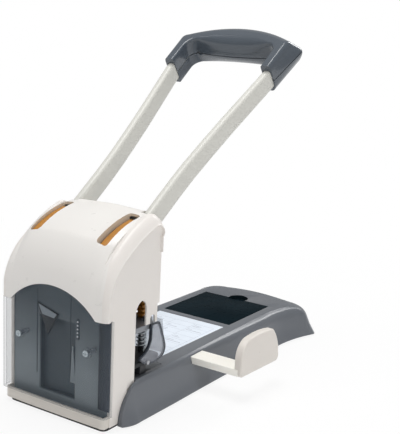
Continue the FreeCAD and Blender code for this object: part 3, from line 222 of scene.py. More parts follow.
def inset_loop(points, depth):
    """A closed loop of plane points, moved inwards by depth."""
    area = sum(points[i - 1][0] * points[i][1] - points[i][0] * points[i - 1][1] for i in range(len(points)))
    turn = 1.0 if area > 0 else -1.0
    moved = []
    for i, (px, py) in enumerate(points):
        ax, ay = points[i - 1]
        bx, by = points[(i + 1) % len(points)]
        length = math.hypot(bx - ax, by - ay) or 1.0
        moved.append((px - turn * (by - ay) / length * depth, py + turn * (bx - ax) / length * depth))
    return moved


def add_mesh(name, points, faces):
    mesh = bpy.data.meshes.new(name)
    mesh.from_pydata([(x * MM, y * MM, z * MM) for x, y, z in points], [], faces)
    mesh.validate()
    obj = bpy.data.objects.new(name, mesh)
    bpy.context.scene.collection.objects.link(obj)
    return obj


def stacked(name, loops):
    """A closed body over a stack of closed loops with as many points each, with a cap at both ends."""
    count = len(loops[0])
    points = [point for loop in loops for point in loop]
    faces = []
    for row in range(len(loops) - 1):
        for i in range(count):
            j = (i + 1) % count
            faces.append((row * count + i, row * count + j, (row + 1) * count + j, (row + 1) * count + i))
    faces.append(tuple(reversed(range(count))))
    faces.append(tuple(range((len(loops) - 1) * count, len(loops) * count)))
    obj = add_mesh(name, points, faces)
    outward(obj)
    return obj


def outward(obj):
    """Turns the faces outwards and merges doubled corners."""
    form = bmesh.new()
    form.from_mesh(obj.data)
    bmesh.ops.remove_doubles(form, verts=form.verts, dist=1e-6)
    bmesh.ops.recalc_face_normals(form, faces=form.faces)
    caps = [face for face in form.faces if len(face.verts) > 4]
    bmesh.ops.triangulate(form, faces=caps, ngon_method="EAR_CLIP")
    form.to_mesh(obj.data)
    form.free()


def block(name, x0, x1, y0, y1, z0, z1):
    loops = [[(x0, y0, z), (x1, y0, z), (x1, y1, z), (x0, y1, z)] for z in (z0, z1)]
    return stacked(name, loops)


def prism(name, plane, outline, low, high):
    """A straight body over an outline on the yz, xz or xy plane."""
    order = {"yz": lambda p, h: (h, p[0], p[1]), "xz": lambda p, h: (p[0], h, p[1]),
             "xy": lambda p, h: (p[0], p[1], h)}[plane]
    return stacked(name, [[order(p, h) for p in outline] for h in (low, high)])


def disc(centre_x, centre_y, radius, count=32):
    return [(centre_x + radius * math.cos(2 * math.pi * i / count),
             centre_y + radius * math.sin(2 * math.pi * i / count)) for i in range(count)]


def bake(obj):
    """Applies the object's modifiers."""
    graph = bpy.context.evaluated_depsgraph_get()
    mesh = bpy.data.meshes.new_from_object(obj.evaluated_get(graph))
    obj.modifiers.clear()
    old = obj.data
    obj.data = mesh
    bpy.data.meshes.remove(old)
    return obj


def combine(obj, operation, *tools):
    """Applies one boolean with each tool in turn, and removes the tools."""
    for tool in tools:
        modifier = obj.modifiers.new("combine", "BOOLEAN")
        modifier.operation = operation
        modifier.solver = "EXACT"
        modifier.object = tool
    bake(obj)
    for tool in tools:
        bpy.data.objects.remove(tool)
    return obj


def cut(obj, *tools):
    return combine(obj, "DIFFERENCE", *tools)


def join(obj, *others):
    return combine(obj, "UNION", *others)


def shade(obj, degrees=32.0):
    """Smooth shading, with edges sharper than the angle kept sharp."""
    mesh = obj.data
    mesh.polygons.foreach_set("use_smooth", [True] * len(mesh.polygons))
    mesh.set_sharp_from_angle(angle=math.radians(degrees))
    return obj


def bevel(obj, width, segments=3, degrees=35.0):
    """Rounds the edges that are sharper than the angle; width is in millimetres."""
    modifier = obj.modifiers.new("edge", "BEVEL")
    modifier.width = width * MM
    modifier.segments = segments
    modifier.limit_method = "ANGLE"
    modifier.angle_limit = math.radians(degrees)
    modifier.harden_normals = False
    modifier.use_clamp_overlap = True
    return obj


def finish(obj, body, material, slot, *nodes, degrees=32.0):
    """Shades a new piece, gives it its material and body, and hides what it stands for."""
    if obj.modifiers:
        bake(obj)
    obj.data.validate()
    shade(obj, degrees)
    obj.data.materials.clear()
    obj.data.materials.append(material)
    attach(obj, body)
    if nodes:
        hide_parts(*nodes)
    return obj


# Materials

def new_material(name):
    material = bpy.data.materials.new(name)
    material.use_nodes = True
    nodes = material.node_tree.nodes
    return material, nodes, material.node_tree.links, nodes["Principled BSDF"]


def noise(nodes, links, scale, detail=4.0, roughness=0.55, stretch=None):
    """A noise field in object coordinates; scale is in cells per metre."""
    where = nodes.new("ShaderNodeTexCoord")
    source = where.outputs["Object"]
    if stretch:
        mapping = nodes.new("ShaderNodeMapping")
        mapping.inputs["Scale"].default_value = stretch
        links.new(source, mapping.inputs["Vector"])
        source = mapping.outputs["Vector"]
    field = nodes.new("ShaderNodeTexNoise")
    field.inputs["Scale"].default_value = scale
    field.inputs["Detail"].default_value = detail
    field.inputs["Roughness"].default_value = roughness
    links.new(source, field.inputs["Vector"])
    return field.outputs["Fac"]


def mapped(nodes, links, source, low, high, from_low=0.3, from_high=0.7):
    """The source's value, where from_low becomes low and from_high becomes high."""
    node = nodes.new("ShaderNodeMapRange")
    node.inputs["From Min"].default_value = from_low
    node.inputs["From Max"].default_value = from_high
    node.inputs["To Min"].default_value = low
    node.inputs["To Max"].default_value = high
    links.new(source, node.inputs["Value"])
    return node.outputs["Result"]


def mixed_colour(nodes, links, fac, first, second):
    node = nodes.new("ShaderNodeMix")
    node.data_type = "RGBA"
    node.inputs[mix_first].default_value = first
    node.inputs[mix_second].default_value = second
    links.new(fac, node.inputs[mix_share])
    return node.outputs[mix_result]


def surface(name, colour, rough, metal=0.0, spread=0.05, grain=900.0, depth=0.02, cloud=18.0,
            coat=0.0, specular=0.5, stretch=None, rough_spread=0.06):
    """An opaque finish: clouded colour, uneven gloss and a fine relief."""
    material, nodes, links, shader = new_material(name)
    dark = tuple(c * (1.0 - spread) for c in colour[:3]) + (1.0,)
    light = tuple(min(1.0, c * (1.0 + spread)) for c in colour[:3]) + (1.0,)
    clouds = noise(nodes, links, cloud, 5.0)
    links.new(mixed_colour(nodes, links, mapped(nodes, links, clouds, 0.0, 1.0), dark, light),
              shader.inputs["Base Color"])
    patches = noise(nodes, links, cloud * 6.0, 6.0, 0.6, stretch)
    links.new(mapped(nodes, links, patches, max(0.02, rough - rough_spread), rough + rough_spread),
              shader.inputs["Roughness"])
    fine = noise(nodes, links, grain, 3.0, 0.6, stretch)
    bump = nodes.new("ShaderNodeBump")
    bump.inputs["Strength"].default_value = 0.35
    bump.inputs["Distance"].default_value = depth * MM
    links.new(fine, bump.inputs["Height"])
    links.new(bump.outputs["Normal"], shader.inputs["Normal"])
    shader.inputs["Metallic"].default_value = metal
    shader.inputs["Coat Weight"].default_value = coat
    shader.inputs["Coat Roughness"].default_value = 0.08
    shader.inputs["Specular IOR Level"].default_value = specular
    return material


def shaded_by_height(name, low, high, low_z, high_z, rough):
    """Painted shade: a matt plastic whose colour runs from low to high with height, darker at the top."""
    material = surface(name, low, rough, spread=0.03, grain=900.0, depth=0.004)
    nodes, links = material.node_tree.nodes, material.node_tree.links
    where = nodes.new("ShaderNodeTexCoord")
    parts = nodes.new("ShaderNodeSeparateXYZ")
    links.new(where.outputs["Object"], parts.inputs["Vector"])
    height = mapped(nodes, links, parts.outputs["Z"], 0.0, 1.0, low_z * MM, high_z * MM)
    height_shade = nodes.new("ShaderNodeMix")
    height_shade.data_type = "RGBA"
    shader = nodes["Principled BSDF"]
    clouded = shader.inputs["Base Color"].links[0].from_socket
    links.new(height, height_shade.inputs[mix_share])
    links.new(clouded, height_shade.inputs[mix_first])
    height_shade.inputs[mix_second].default_value = high
    links.new(height_shade.outputs[mix_result], shader.inputs["Base Color"])
    return material


def clear(name, colour, alpha, rough, spread=0.04):
    """A see-through plastic, with a little haze and fine wear in its gloss."""
    material, nodes, links, shader = new_material(name)
    dark = tuple(c * (1.0 - spread) for c in colour[:3]) + (1.0,)
    light = tuple(min(1.0, c * (1.0 + spread)) for c in colour[:3]) + (1.0,)
    clouds = noise(nodes, links, 25.0, 4.0)
    links.new(mixed_colour(nodes, links, clouds, dark, light), shader.inputs["Base Color"])
    wear = noise(nodes, links, 160.0, 6.0, 0.7)
    links.new(mapped(nodes, links, wear, rough * 0.6, rough * 1.6), shader.inputs["Roughness"])
    rim = nodes.new("ShaderNodeLayerWeight")
    rim.inputs["Blend"].default_value = 0.35
    links.new(mapped(nodes, links, rim.outputs["Facing"], alpha, min(1.0, alpha + 0.45), 0.25, 1.0),
              shader.inputs["Alpha"])
    shader.inputs["IOR"].default_value = 1.5
    return material


def wire_steel(name, colour, rough):
    return surface(name, colour, rough, metal=0.9, spread=0.10, grain=1500.0, depth=0.03, cloud=60.0)


white = surface("white_gloss", tone(238, 235, 231), 0.28, spread=0.003, grain=260.0, depth=0.002, coat=0.1,
                rough_spread=0.008)
cream = surface("cream_panel", tone(236, 231, 226), 0.36, spread=0.004, grain=260.0, depth=0.002,
                rough_spread=0.008)
base_grey = surface("grey_shell", tone(106, 110, 116), 0.26, spread=0.015, grain=260.0, depth=0.002,
                    specular=0.35, rough_spread=0.012)
grip_grey = surface("grip_grey", tone(76, 84, 93), 0.22, spread=0.015, grain=260.0, depth=0.002, cloud=25.0,
                    coat=0.4, rough_spread=0.015)
arm_white = surface("arm_white", tone(216, 215, 208), 0.38, spread=0.004, grain=260.0, depth=0.001,
                    rough_spread=0.008)
paddle_cream = surface("paddle_cream", tone(226, 220, 213), 0.33, spread=0.02, grain=800.0, depth=0.015)
slot_cream = surface("slot_cream", tone(232, 220, 202), 0.40, spread=0.03, grain=700.0, depth=0.004)
sill_cream = surface("sill_cream", tone(224, 218, 210), 0.38, spread=0.015, grain=700.0, depth=0.004)
# A dark strip behind the cover's right-hand edge: painted shade, where the cheek's inside lies in shadow.
shade_strip_black = surface("shade_strip_black", tone(45, 52, 62), 0.5, spread=0.12, grain=900.0, depth=0.02)
rail_cream = surface("rail_cream", tone(254, 251, 243), 0.32, spread=0.02, grain=800.0, depth=0.015)
slate = surface("slate_gloss", tone(20, 32, 38), 0.30, spread=0.22, grain=240.0, depth=0.01, cloud=22.0,
                specular=0.002)
amber = surface("amber_gear", tone(186, 128, 52), 0.36, spread=0.08, grain=900.0, depth=0.004, cloud=45.0)
steel_plate = surface("steel_plate", tone(150, 152, 156), 0.38, metal=0.9, spread=0.08, grain=500.0,
                      depth=0.02, cloud=30.0, stretch=(1.0, 1.0, 9.0))
zinc = wire_steel("zinc", tone(176, 178, 182), 0.30)
tool_steel = wire_steel("tool_steel", tone(158, 158, 162), 0.22)
spring_steel = surface("spring_steel", tone(214, 222, 226), 0.25, metal=0.6, spread=0.08, grain=1500.0,
                       depth=0.01)
screw_chrome = surface("bright_screw", tone(176, 186, 192), 0.25, metal=0.4, spread=0.08, grain=900.0,
                       depth=0.004, cloud=90.0)
bronze = wire_steel("bronze", tone(168, 128, 78), 0.40)
die_steel = surface("die_steel", tone(104, 108, 112), 0.34, metal=0.8, spread=0.10, grain=600.0, depth=0.02,
                    stretch=(8.0, 1.0, 1.0))
cast_dark = surface("cast_block", tone(38, 40, 42), 0.50, metal=0.4, spread=0.15, grain=700.0, depth=0.06)
dark_plastic = surface("dark_plastic", tone(42, 44, 48), 0.48, spread=0.10, grain=1500.0, depth=0.04)
rubber = surface("rubber", tone(24, 24, 26), 0.75, spread=0.15, grain=1200.0, depth=0.08)
bar_grey = surface("bar_grey", tone(140, 144, 150), 0.30, metal=0.3, spread=0.06, grain=700.0, depth=0.01)
# Painted shade: the wall behind the cover and its pocket turn darker towards the top.
panel_grey = shaded_by_height("panel_grey", tone(140, 150, 156), tone(72, 84, 92), 45.0, 105.0, 0.40)
pocket_grey = shaded_by_height("pocket_grey", tone(66, 78, 86), tone(62, 72, 80), 20.0, 90.0, 0.45)
pale_vane = surface("pale_vane", tone(150, 160, 166), 0.40, spread=0.05, grain=900.0, depth=0.004)
black_plate = surface("black_plate", tone(12, 14, 18), 0.45, spread=0.2, grain=900.0, depth=0.02)
strip_white = surface("scale_strip", tone(236, 240, 246), 0.42, spread=0.04, grain=900.0, depth=0.02)
drawer_grey = surface("drawer_grey", tone(92, 94, 101), 0.38, metal=0.2, spread=0.07, grain=1600.0,
                      depth=0.035)
card_white = surface("card", tone(232, 240, 250), 0.50, spread=0.03, grain=1400.0, depth=0.01, cloud=35.0)
ink_grey = surface("card_ink", tone(176, 184, 197), 0.55, spread=0.15, grain=1400.0, depth=0.005, cloud=200.0)
smoke = clear("smoke_clear", tone(84, 96, 108), 0.12, 0.06)
guard_clear = clear("guard_clear", tone(176, 180, 190), 0.30, 0.08)
# The guard's thick rims: their dark tint is painted shadow of the gap at the side walls.
guard_edge = clear("guard_edge", tone(70, 76, 86), 0.80, 0.10)
pointer_grey = surface("pointer_grey", tone(150, 160, 168), 0.4, spread=0.06, grain=900.0, depth=0.01)
# The base

def base_side(front_x, half, waist, flare, far_corner, radius, front, count):
    """One side of the base in plan, from the front to the end of its far corner."""
    k = radius * (1 - math.cos(math.radians(45)))
    taper = ((half + waist) / 2 - 0.6, (taper_start + flare_start) / 2)
    flaring = (waist + (flare - waist) * 0.2, flare_start + (far_corner - radius - flare_start) * 0.55)
    return path([
        (front_x, front),
        ((half - 0.25 * (half - front_x), front + 9.0), (half, base_front + 24.0)),
        (half, taper_start),
        (taper, (waist, flare_start)),
        (flaring, (flare, far_corner - radius)),
        ((flare - k, far_corner - k), (flare - radius, far_corner)),
    ], count, 10)


def base_plan(level, inset=0.0, count=14):
    """The base's outline at one height, drawn in by inset."""
    z, *sizes = level
    front_x, half, waist, flare, far_corner, far, radius, flare_left = [size - inset for size in sizes]
    front = base_front + inset
    right = base_side(front_x, half, waist, flare, far_corner, radius, front, count)
    left = base_side(front_x, half, waist, flare_left, far_corner, radius, front, count)
    left = [(-x, y) for x, y in reversed(left)]
    bow = arc_points(right[-1], (0.0, far), left[0], 24)
    return [(x, y, z) for x, y in right + bow[:-1] + left]


def paint_thumb_notch_shade(body):
    """Painted shade: the notch beside the lid gets the lid's dark finish inside, for the shadow in it."""
    body.data.materials.append(slate)
    for face in body.data.polygons:
        x, y, z = [value / MM for value in face.center]
        if math.hypot(x, y - thumb_y) < thumb_radius + 0.05 and z < table_top - 0.6:
            face.material_index = 1


def make_base():
    """The grey base: splayed skirt, waist, flared far corners and a flat deck with its rooms."""
    knots = [(step, *level) for step, level in enumerate(base_levels)]
    steps = 7
    levels = [spline(knots, i / steps) for i in range(steps * (len(knots) - 1) + 1)]
    loops = [base_plan(level) for level in levels]
    loops.append(base_plan(levels[-1], 1.4))
    body = stacked("base_shell_form", loops)
    side = [(base_front - 4.0, base_bottom - 3.0), (base_front + 3.2, base_bottom - 3.0),
            (base_front + 3.6, base_bottom)]
    side += arc_points(side[-1], (base_front + 10.5, 23.5), (-35.0, table_top), 16)
    side += [(-35.0, table_top + 4.0), (base_front - 4.0, table_top + 4.0)]
    cut(body, prism("front_cut", "yz", side, -90.0, 90.0))
    cut(body,
        block("head_room", -head_half - part_gap, head_half + part_gap, base_front - 5.0, window_front + 1.0,
              base_bottom - 5.0, room_top),
        block("die_room", -die_room_half, die_room_half, window_front - 6.0, die_room_back,
              room_floor, room_top),
        block("card_room", -card_half, card_half, card_front, card_back, table_top - card_recess, room_top),
        block("lid_room", -lid_half, lid_half, lid_front, lid_back, room_floor, room_top),
        prism("thumb_room", "xy", disc(0.0, thumb_y, thumb_radius, 40), table_top - thumb_depth, room_top),
        block("rail_room", -60.0, 90.0, rail_front, rail_back, rail_low, rail_high),
        block("drawer_room", -90.0, 49.0, -drawer_half, drawer_half, room_floor, drawer_high))
    bevel(body, 0.5, 2, 40.0)
    finish(body, "body", base_grey, "grey_shell", "base_shell", degrees=38.0)
    # The notch's inside is painted dark for its shadow.
    paint_thumb_notch_shade(body)
    return body


# The head

def hood_loop(x, front, brow, drop, inset):
    """The hood's outline on one plane of constant x: upright front, rounded brow, rising crown."""
    crown = hood_crown - drop - inset
    front = cover_front + front + inset
    brow = cover_front + brow + inset
    steps = [
        (front, 60.0),
        (front, brow_z),
        ((brow + 6.2, brow_z + 31.5 - 0.5 * drop - 0.3 * inset),
         (brow + 19.5, brow_z + 51.0 - drop - 0.6 * inset)),
        ((-35.0, crown - 5.6), (-3.0, crown)),
        ((5.0, crown - 1.0), (hood_rear - inset, crown - 6.0)),
        (hood_rear - inset, 60.0),
    ]
    return [(x, y, z) for y, z in path(steps, 22, 8)]


def hood_solid(name, inset, half):
    """A body in the hood's outer form, drawn in by inset, and as wide as twice half."""
    knots = [(-hood_half, 0.5, 3.9, 5.2), (-43.0, 0.3, 1.9, 2.0), (-24.0, 0.1, 0.2, 0.9),
             (0.0, 0.0, -0.5, 0.0), (24.0, 0.1, 0.2, 0.9), (43.0, 0.3, 1.9, 2.0), (hood_half, 0.5, 3.9, 5.2)]
    count = 40
    loops = []
    for i in range(count + 1):
        x = -half + 2 * half * i / count
        loops.append(hood_loop(x, *spline(knots, max(-hood_half, min(hood_half, x))), inset))
    return stacked(name, loops)


def round_rectangle(x0, x1, y0, y1, radius, count=8):
    """The outline of a rectangle with round corners."""
    points = []
    for cx, cy, first in ((x1 - radius, y1 - radius, 0), (x0 + radius, y1 - radius, 90),
                          (x0 + radius, y0 + radius, 180), (x1 - radius, y0 + radius, 270)):
        for i in range(count + 1):
            angle = math.radians(first + 90.0 * i / count)
            points.append((cx + radius * math.cos(angle), cy + radius * math.sin(angle)))
    return points


def arch_prism(name, half, crown, low, high):
    """The opening under the hood's front, from below the head up to its round top."""
    arch = [(-half, 60.0), (half, 60.0), (half, arch_corner_z)]
    arch += arc_points(arch[-1], (0.0, crown), (-half, arch_corner_z), 36)
    return prism(name, "xz", arch, low, high)


def corner_wedge(x_start):
    """The part of the head's front corner that belongs to the hood: it narrows out above the brow."""
    outline = [(x_start, arch_corner_z - 1.0), (front_edge, arch_corner_z - 1.0), (front_edge, brow_z + 12.0)]
    outline += arc_points(outline[-1], (front_edge - 2.0, brow_z + 28.0), (hood_half, brow_z + 44.0), 14)
    if x_start < hood_half:
        outline.append((x_start, brow_z + 44.0))
    return prism("wedge", "xz", outline, cover_front - 10.0, pivot_y)


def mirror(obj):
    """The left-hand twin of a piece of the head's edge, whose crest lies lower than the right one's."""
    for vertex in obj.data.vertices:
        height = (vertex.co.z / MM - arch_corner_z) / (hood_crown - 12.0 - arch_corner_z)
        vertex.co.x = -vertex.co.x
        vertex.co.z -= left_sink * MM * max(0.0, min(1.0, height))
    outward(obj)
    return obj


def hood_shell():
    """The hood's wall, with the arch over the window, the slots and the rooms that the arms swing in."""
    shell = hood_solid("hood_form", 0.0, hood_half)
    cut(shell, hood_solid("hood_room", hood_wall, hood_half + 1.0))
    for side in (-1, 1):
        corner = cheek_rim("corner", hood_half - 0.6)
        combine(corner, "INTERSECT", corner_wedge(hood_half - 0.6))
        join(shell, mirror(corner) if side < 0 else corner)
    cut(shell, arch_prism("arch_room", arch_half, arch_crown_z, cover_front - 6.0, -66.0),
        block("below", -70.0, 70.0, -95.0, 40.0, 50.0, arch_corner_z))
    for side in (-1, 1):
        x0, x1 = sorted((side * slot_inner, side * slot_outer))
        slot = round_rectangle(x0, x1, slot_front, slot_back, slot_corner)
        cut(shell, prism("slot_room", "xy", slot, 150.0, 200.0))
        x0, x1 = sorted((side * arm_room_inner, side * arm_room_outer))
        cut(shell, block("arm_room", x0, x1, -5.0, 20.0, 150.0, 200.0),
            block("arm_room_low", x0, x1, 6.0, 20.0, 137.0, 160.0))
    return shell


def add_slot_walls(shell):
    """The short walls that hang below the long sides of each slot."""
    skirt = hood_solid("skirt_form", 1.2, hood_half - 0.5)
    cut(skirt, hood_solid("skirt_room", slot_depth, hood_half + 1.0))
    for side in (-1, 1):
        for wall in (slot_inner - slot_wall, slot_outer):
            x0, x1 = sorted((side * wall, side * (wall + slot_wall)))
            piece = skirt.copy()
            piece.data = skirt.data.copy()
            bpy.context.scene.collection.objects.link(piece)
            strip = block("strip", x0, x1, slot_front - 1.0, slot_back - 1.0, 100.0, 200.0)
            combine(piece, "INTERSECT", strip)
            join(shell, piece)
    bpy.data.objects.remove(skirt)


def colour_slot_walls(shell):
    """The slots' walls are of a warmer white than the hood's outside."""
    shell.data.materials.append(slot_cream)
    for face in shell.data.polygons:
        x, y = abs(face.center.x) / MM, face.center.y / MM
        in_slot = slot_inner - 0.4 < x < slot_outer + 0.4 and slot_front - 0.4 < y < slot_back + 0.4
        if in_slot and abs(face.normal.z) < 0.5:
            face.material_index = 1


def make_hood():
    """The white cover over the mechanism."""
    shell = hood_shell()
    add_slot_walls(shell)
    bevel(shell, 0.7, 3, 40.0)
    finish(shell, "body", white, "white_gloss", "hood", degrees=40.0)
    colour_slot_walls(shell)
    return shell


def cheek_loop(x, front, drop):
    """The cheek's outline on one plane of constant x, drawn in at the front and lowered along the top."""
    steps = [
        (corner_y + front, 60.0),
        (corner_y + front, brow_z),
        ((-71.0 + 0.5 * front + 0.3 * drop, brow_z + 28.0 - 0.55 * drop),
         (-57.0 + 0.45 * drop, brow_z + 42.5 - 0.68 * drop)),
        ((-36.0 + 0.4 * drop, 175.5 - 0.9 * drop), (-13.0 + 0.2 * drop, 185.6 - drop)),
        ((-4.5, 184.8 - drop), (0.0 - 0.1 * drop, 181.0 - 0.9 * drop)),
        ((2.9 - 0.3 * drop, 177.0 - 0.7 * drop), (3.4 - 0.55 * drop, 171.0 - 0.6 * drop)),
        (2.0 - 0.4 * drop, 60.0),
    ]
    return [(x, y, z) for y, z in path(steps, 16, 6)]


def cheek_rim(name, x_start):
    """The rounded shell over the head's right-hand edge, from x_start outwards."""
    knots = [(0.0, hood_half, 0.0, 0.0), (0.2, 54.5, 0.1, 0.0), (0.4, 58.5, 0.7, 3.2), (0.6, 61.5, 2.4, 7.5),
             (0.8, front_half, 4.7, 8.8), (1.0, head_half, 10.8, 10.2)]
    loops = [cheek_loop(x_start, 0.0, 0.0)]
    for i in range(25):
        x, front, drop = spline(knots, i / 24)
        if x > x_start:
            loops.append(cheek_loop(min(x, front_half), front, drop))
    rim = stacked(name, loops)
    hollow = stacked("hollow", [cheek_loop(x_start - 1.0, 3.0, 3.2), cheek_loop(54.0, 3.0, 3.4),
                                cheek_loop(57.0, 3.2, 7.0)])
    return cut(rim, hollow, block("below", 0.0, 90.0, -100.0, 40.0, 50.0, arch_corner_z))


def make_cheek(side):
    """One side panel of the head: the rounded rim and a flat wall with its window and a shallow relief."""
    name = "cheek_right" if side > 0 else "cheek_left"
    rim = cheek_rim(name + "_rim", hood_half)
    cut(rim, corner_wedge(hood_half - 4.0))
    join(rim, block("wall", 57.0, head_half, -69.2, -2.0, 3.5, arch_corner_z + 1.0))
    window = [(-34.0, -5.0), (8.0, -5.0), (8.0, 85.0), (-18.5, 85.0), (-18.5, 100.0)]
    window += arc_points(window[-1], (-20.3, 107.0), (-25.5, 110.0), 8)
    window += arc_points(window[-1], (-31.6, 106.0), (-34.0, 97.0), 8)
    notch = [(-12.5, 83.0), (-5.0, 83.0), (-5.0, 89.5)]
    notch += arc_points(notch[-1], (-8.75, 93.0), (-12.5, 89.5), 10)
    cut(rim, prism("window_room", "yz", window, 40.0, 80.0), prism("notch_room", "yz", notch, 40.0, 80.0))
    relief = [(-46.0, 50.0)]
    relief += arc_points(relief[-1], (-48.0, 80.0), (-46.0, 107.0), 12)
    relief += arc_points(relief[-1], (-39.0, 129.0), (-18.0, 144.5), 14)
    relief += [(8.0, 155.0), (8.0, -5.0), (-46.0, -5.0)]
    cut(rim, prism("relief_room", "yz", relief, head_half - cheek_relief, 80.0))
    if side < 0:
        mirror(rim)
    bevel(rim, 0.6, 3, 30.0)
    return finish(rim, "body", cream, "cream_panel", name, degrees=40.0)


# The handle

def on_handle(x, along, across):
    """A point of the handle: its distance along the arms from the pivot, and above their middle line."""
    return (x, pivot_y + math.cos(handle_rise) * along - math.sin(handle_rise) * across,
            pivot_z + math.sin(handle_rise) * along + math.cos(handle_rise) * across)


# The grip, from the arms' undersides to their tops. Each level: the height across the arms; x of the inner
# rim; x and the distance along the arms of the inner knee and the inner shoulder; the inner crown's
# distance along the arms; and the same six for the outside.
grip_start = 258.0
grip_levels = [
    (-15.0, 55.0, 55.8, 284.0, 44.0, 295.7, 299.2, 62.5, 66.5, 305.0, 60.0, 311.0, 317.5),
    (-10.0, 54.8, 56.3, 285.5, 45.5, 294.5, 294.0, 65.8, 71.5, 306.0, 64.5, 313.5, 324.0),
    (-1.5, 55.0, 56.7, 286.0, 46.0, 293.6, 290.8, 66.2, 74.6, 306.6, 68.2, 314.0, 327.0),
    (10.0, 54.6, 55.6, 285.0, 44.5, 294.6, 295.4, 66.2, 69.0, 301.0, 64.0, 308.0, 323.5),
    (14.5, 54.7, 55.3, 284.4, 43.6, 295.8, 299.6, 65.6, 67.2, 298.4, 61.8, 305.2, 320.6),
    (17.0, 55.4, 55.7, 284.2, 43.4, 297.0, 305.6, 64.3, 64.8, 295.5, 59.0, 302.0, 315.4),
]


def bulged(start, end, share):
    """A point beside the middle of start and end, out to the left by a share of their distance."""
    return ((start[0] + end[0]) / 2 - (end[1] - start[1]) * share,
            (start[1] + end[1]) / 2 + (end[0] - start[0]) * share)


def grip_outline(across, inset=0.0):
    """The grip's outline, as (x, along) pairs: round the outside and back along the inside."""
    level = spline(grip_levels, across)
    rim_in, knee_in, knee_in_along, shoulder_in, shoulder_in_along, crown_in = level[:6]
    rim_out, knee_out, knee_out_along, shoulder_out, shoulder_out_along, crown_out = level[6:]
    outer_knee = (knee_out - inset, knee_out_along - 0.4 * inset)
    outer_shoulder = (shoulder_out - 0.6 * inset, shoulder_out_along - 0.9 * inset)
    inner_knee = (knee_in + inset, knee_in_along + 0.4 * inset)
    inner_shoulder = (shoulder_in + 0.6 * inset, shoulder_in_along + 0.9 * inset)
    outside = path([(rim_out - inset, grip_start), outer_knee,
                    (bulged(outer_knee, outer_shoulder, -0.2), outer_shoulder)], 10, 14)
    bar = arc_points(outer_shoulder, (0.0, crown_out - inset), (-outer_shoulder[0], outer_shoulder[1]), 48)
    inside = path([(rim_in + inset, grip_start), inner_knee,
                   (bulged(inner_knee, inner_shoulder, -0.2), inner_shoulder)], 10, 14)
    inner_bar = arc_points((-inner_shoulder[0], inner_shoulder[1]), (0.0, crown_in + inset),
                           inner_shoulder, 48)
    return (outside + bar + [(-x, s) for x, s in reversed(outside)][1:]
            + [(-x, s) for x, s in inside] + inner_bar + [(x, s) for x, s in reversed(inside)][1:])


def grip_shell(name, low, high, round_low, round_high):
    """One shell of the grip between two heights, rounded where it isn't at the seam."""
    levels = []
    for i in range(7 if round_low else 0):
        angle = math.radians(90.0 * i / 7)
        levels.append((low + round_low * (1 - math.cos(angle)), round_low * (1 - math.sin(angle))))
    start, end = low + round_low, high - round_high
    levels += [(start + (end - start) * i / 12, 0.0) for i in range(13)]
    for i in range(1, 8 if round_high else 1):
        angle = math.radians(90.0 * i / 7)
        levels.append((end + round_high * math.sin(angle), round_high * (1 - math.cos(angle))))
    return stacked(name, [[on_handle(x, s, across) for x, s in grip_outline(across, inset)]
                          for across, inset in levels])


def arm_hollow(side):
    """The room that an arm takes up in the grip's leg."""
    loops = []
    for along, gap in ((250.0, 0.35), (262.0, 0.3), (285.0, 0.05), (303.3, 0.05)):
        inner, = spline(arm_stations, min(along, 303.0))
        half = arm_depth / 2 + gap
        section = round_rectangle(inner - gap, inner + arm_width + gap, -half, half, 3.4, 6)
        loops.append([on_handle(side * x, along, across) for x, across in section])
    return stacked("arm_hollow", loops)


def make_grip():
    """The grip's two shells, with a fine groove between them and room for the arms."""
    groove = 0.45
    top = grip_shell("grip_top_shell", seam_across + groove, 17.0, 0.0, 1.6)
    bottom = grip_shell("grip_bottom_shell", -15.0, seam_across - groove, 2.0, 0.0)
    for shell in (top, bottom):
        cut(shell, arm_hollow(1), arm_hollow(-1))
        bevel(shell, 0.5, 2, 50.0)
    finish(top, "handle", grip_grey, "grip_grey", "grip_top", degrees=35.0)
    finish(bottom, "handle", grip_grey, "grip_grey", "grip_bottom", degrees=35.0)


# The springs, the side guide's paddle and the finger guard

def make_springs():
    """The two return springs, which the bar presses down, as copies of their CAD meshes at rest length."""
    for name in ("return_spring_left", "return_spring_right"):
        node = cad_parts[name]
        spring = node.copy()
        spring.data = node.data.copy()
        spring.parent = None
        spring.name = name + "_coil"
        bpy.context.scene.collection.objects.link(spring)
        finish(spring, "body", spring_steel, "spring_steel", name, degrees=60.0)
        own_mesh(spring)


def make_paddle():
    """The upright plate that the paper's edge is set against, with round edges on its outer side."""
    near, far, low, high = 54.0, 127.0, 24.0, 62.0
    steps = [
        (near + 4.0, low + 2.2),
        (far - 6.0, low),
        ((far - 1.0, low + 1.8), (far, low + 8.0)),
        ((far - 3.5, high - 15.0), (far - 13.0, high - 1.8)),
        ((0.5 * (near + far), high + 1.0), (near + 14.0, high)),
        ((near + 4.5, high - 6.0), (near, high - 20.0)),
        (near, low + 7.0),
        ((near + 1.1, low + 3.5), (near + 4.0, low + 2.2)),
    ]
    outline = path(steps, 14, 8)[:-1]
    inner, outer = 111.0, 119.0
    edge = 1.8
    loops = [[(inner, y, z) for y, z in inset_loop(outline, 0.6)], [(inner + 0.6, y, z) for y, z in outline]]
    for i in range(7):
        angle = math.radians(90.0 * i / 6)
        loops.append([(outer - edge + edge * math.sin(angle), y, z)
                      for y, z in inset_loop(outline, edge * (1 - math.cos(angle)))])
    loops.append([(outer, y, z) for y, z in inset_loop(outline, edge + 0.7)])
    plate = stacked("guide_paddle_form", loops)
    cut(plate, block("socket", 105.0, 114.9, 53.0, 76.1, 26.9, 34.3))
    return finish(plate, "guide", paddle_cream, "paddle_cream", "guide_paddle", degrees=30.0)


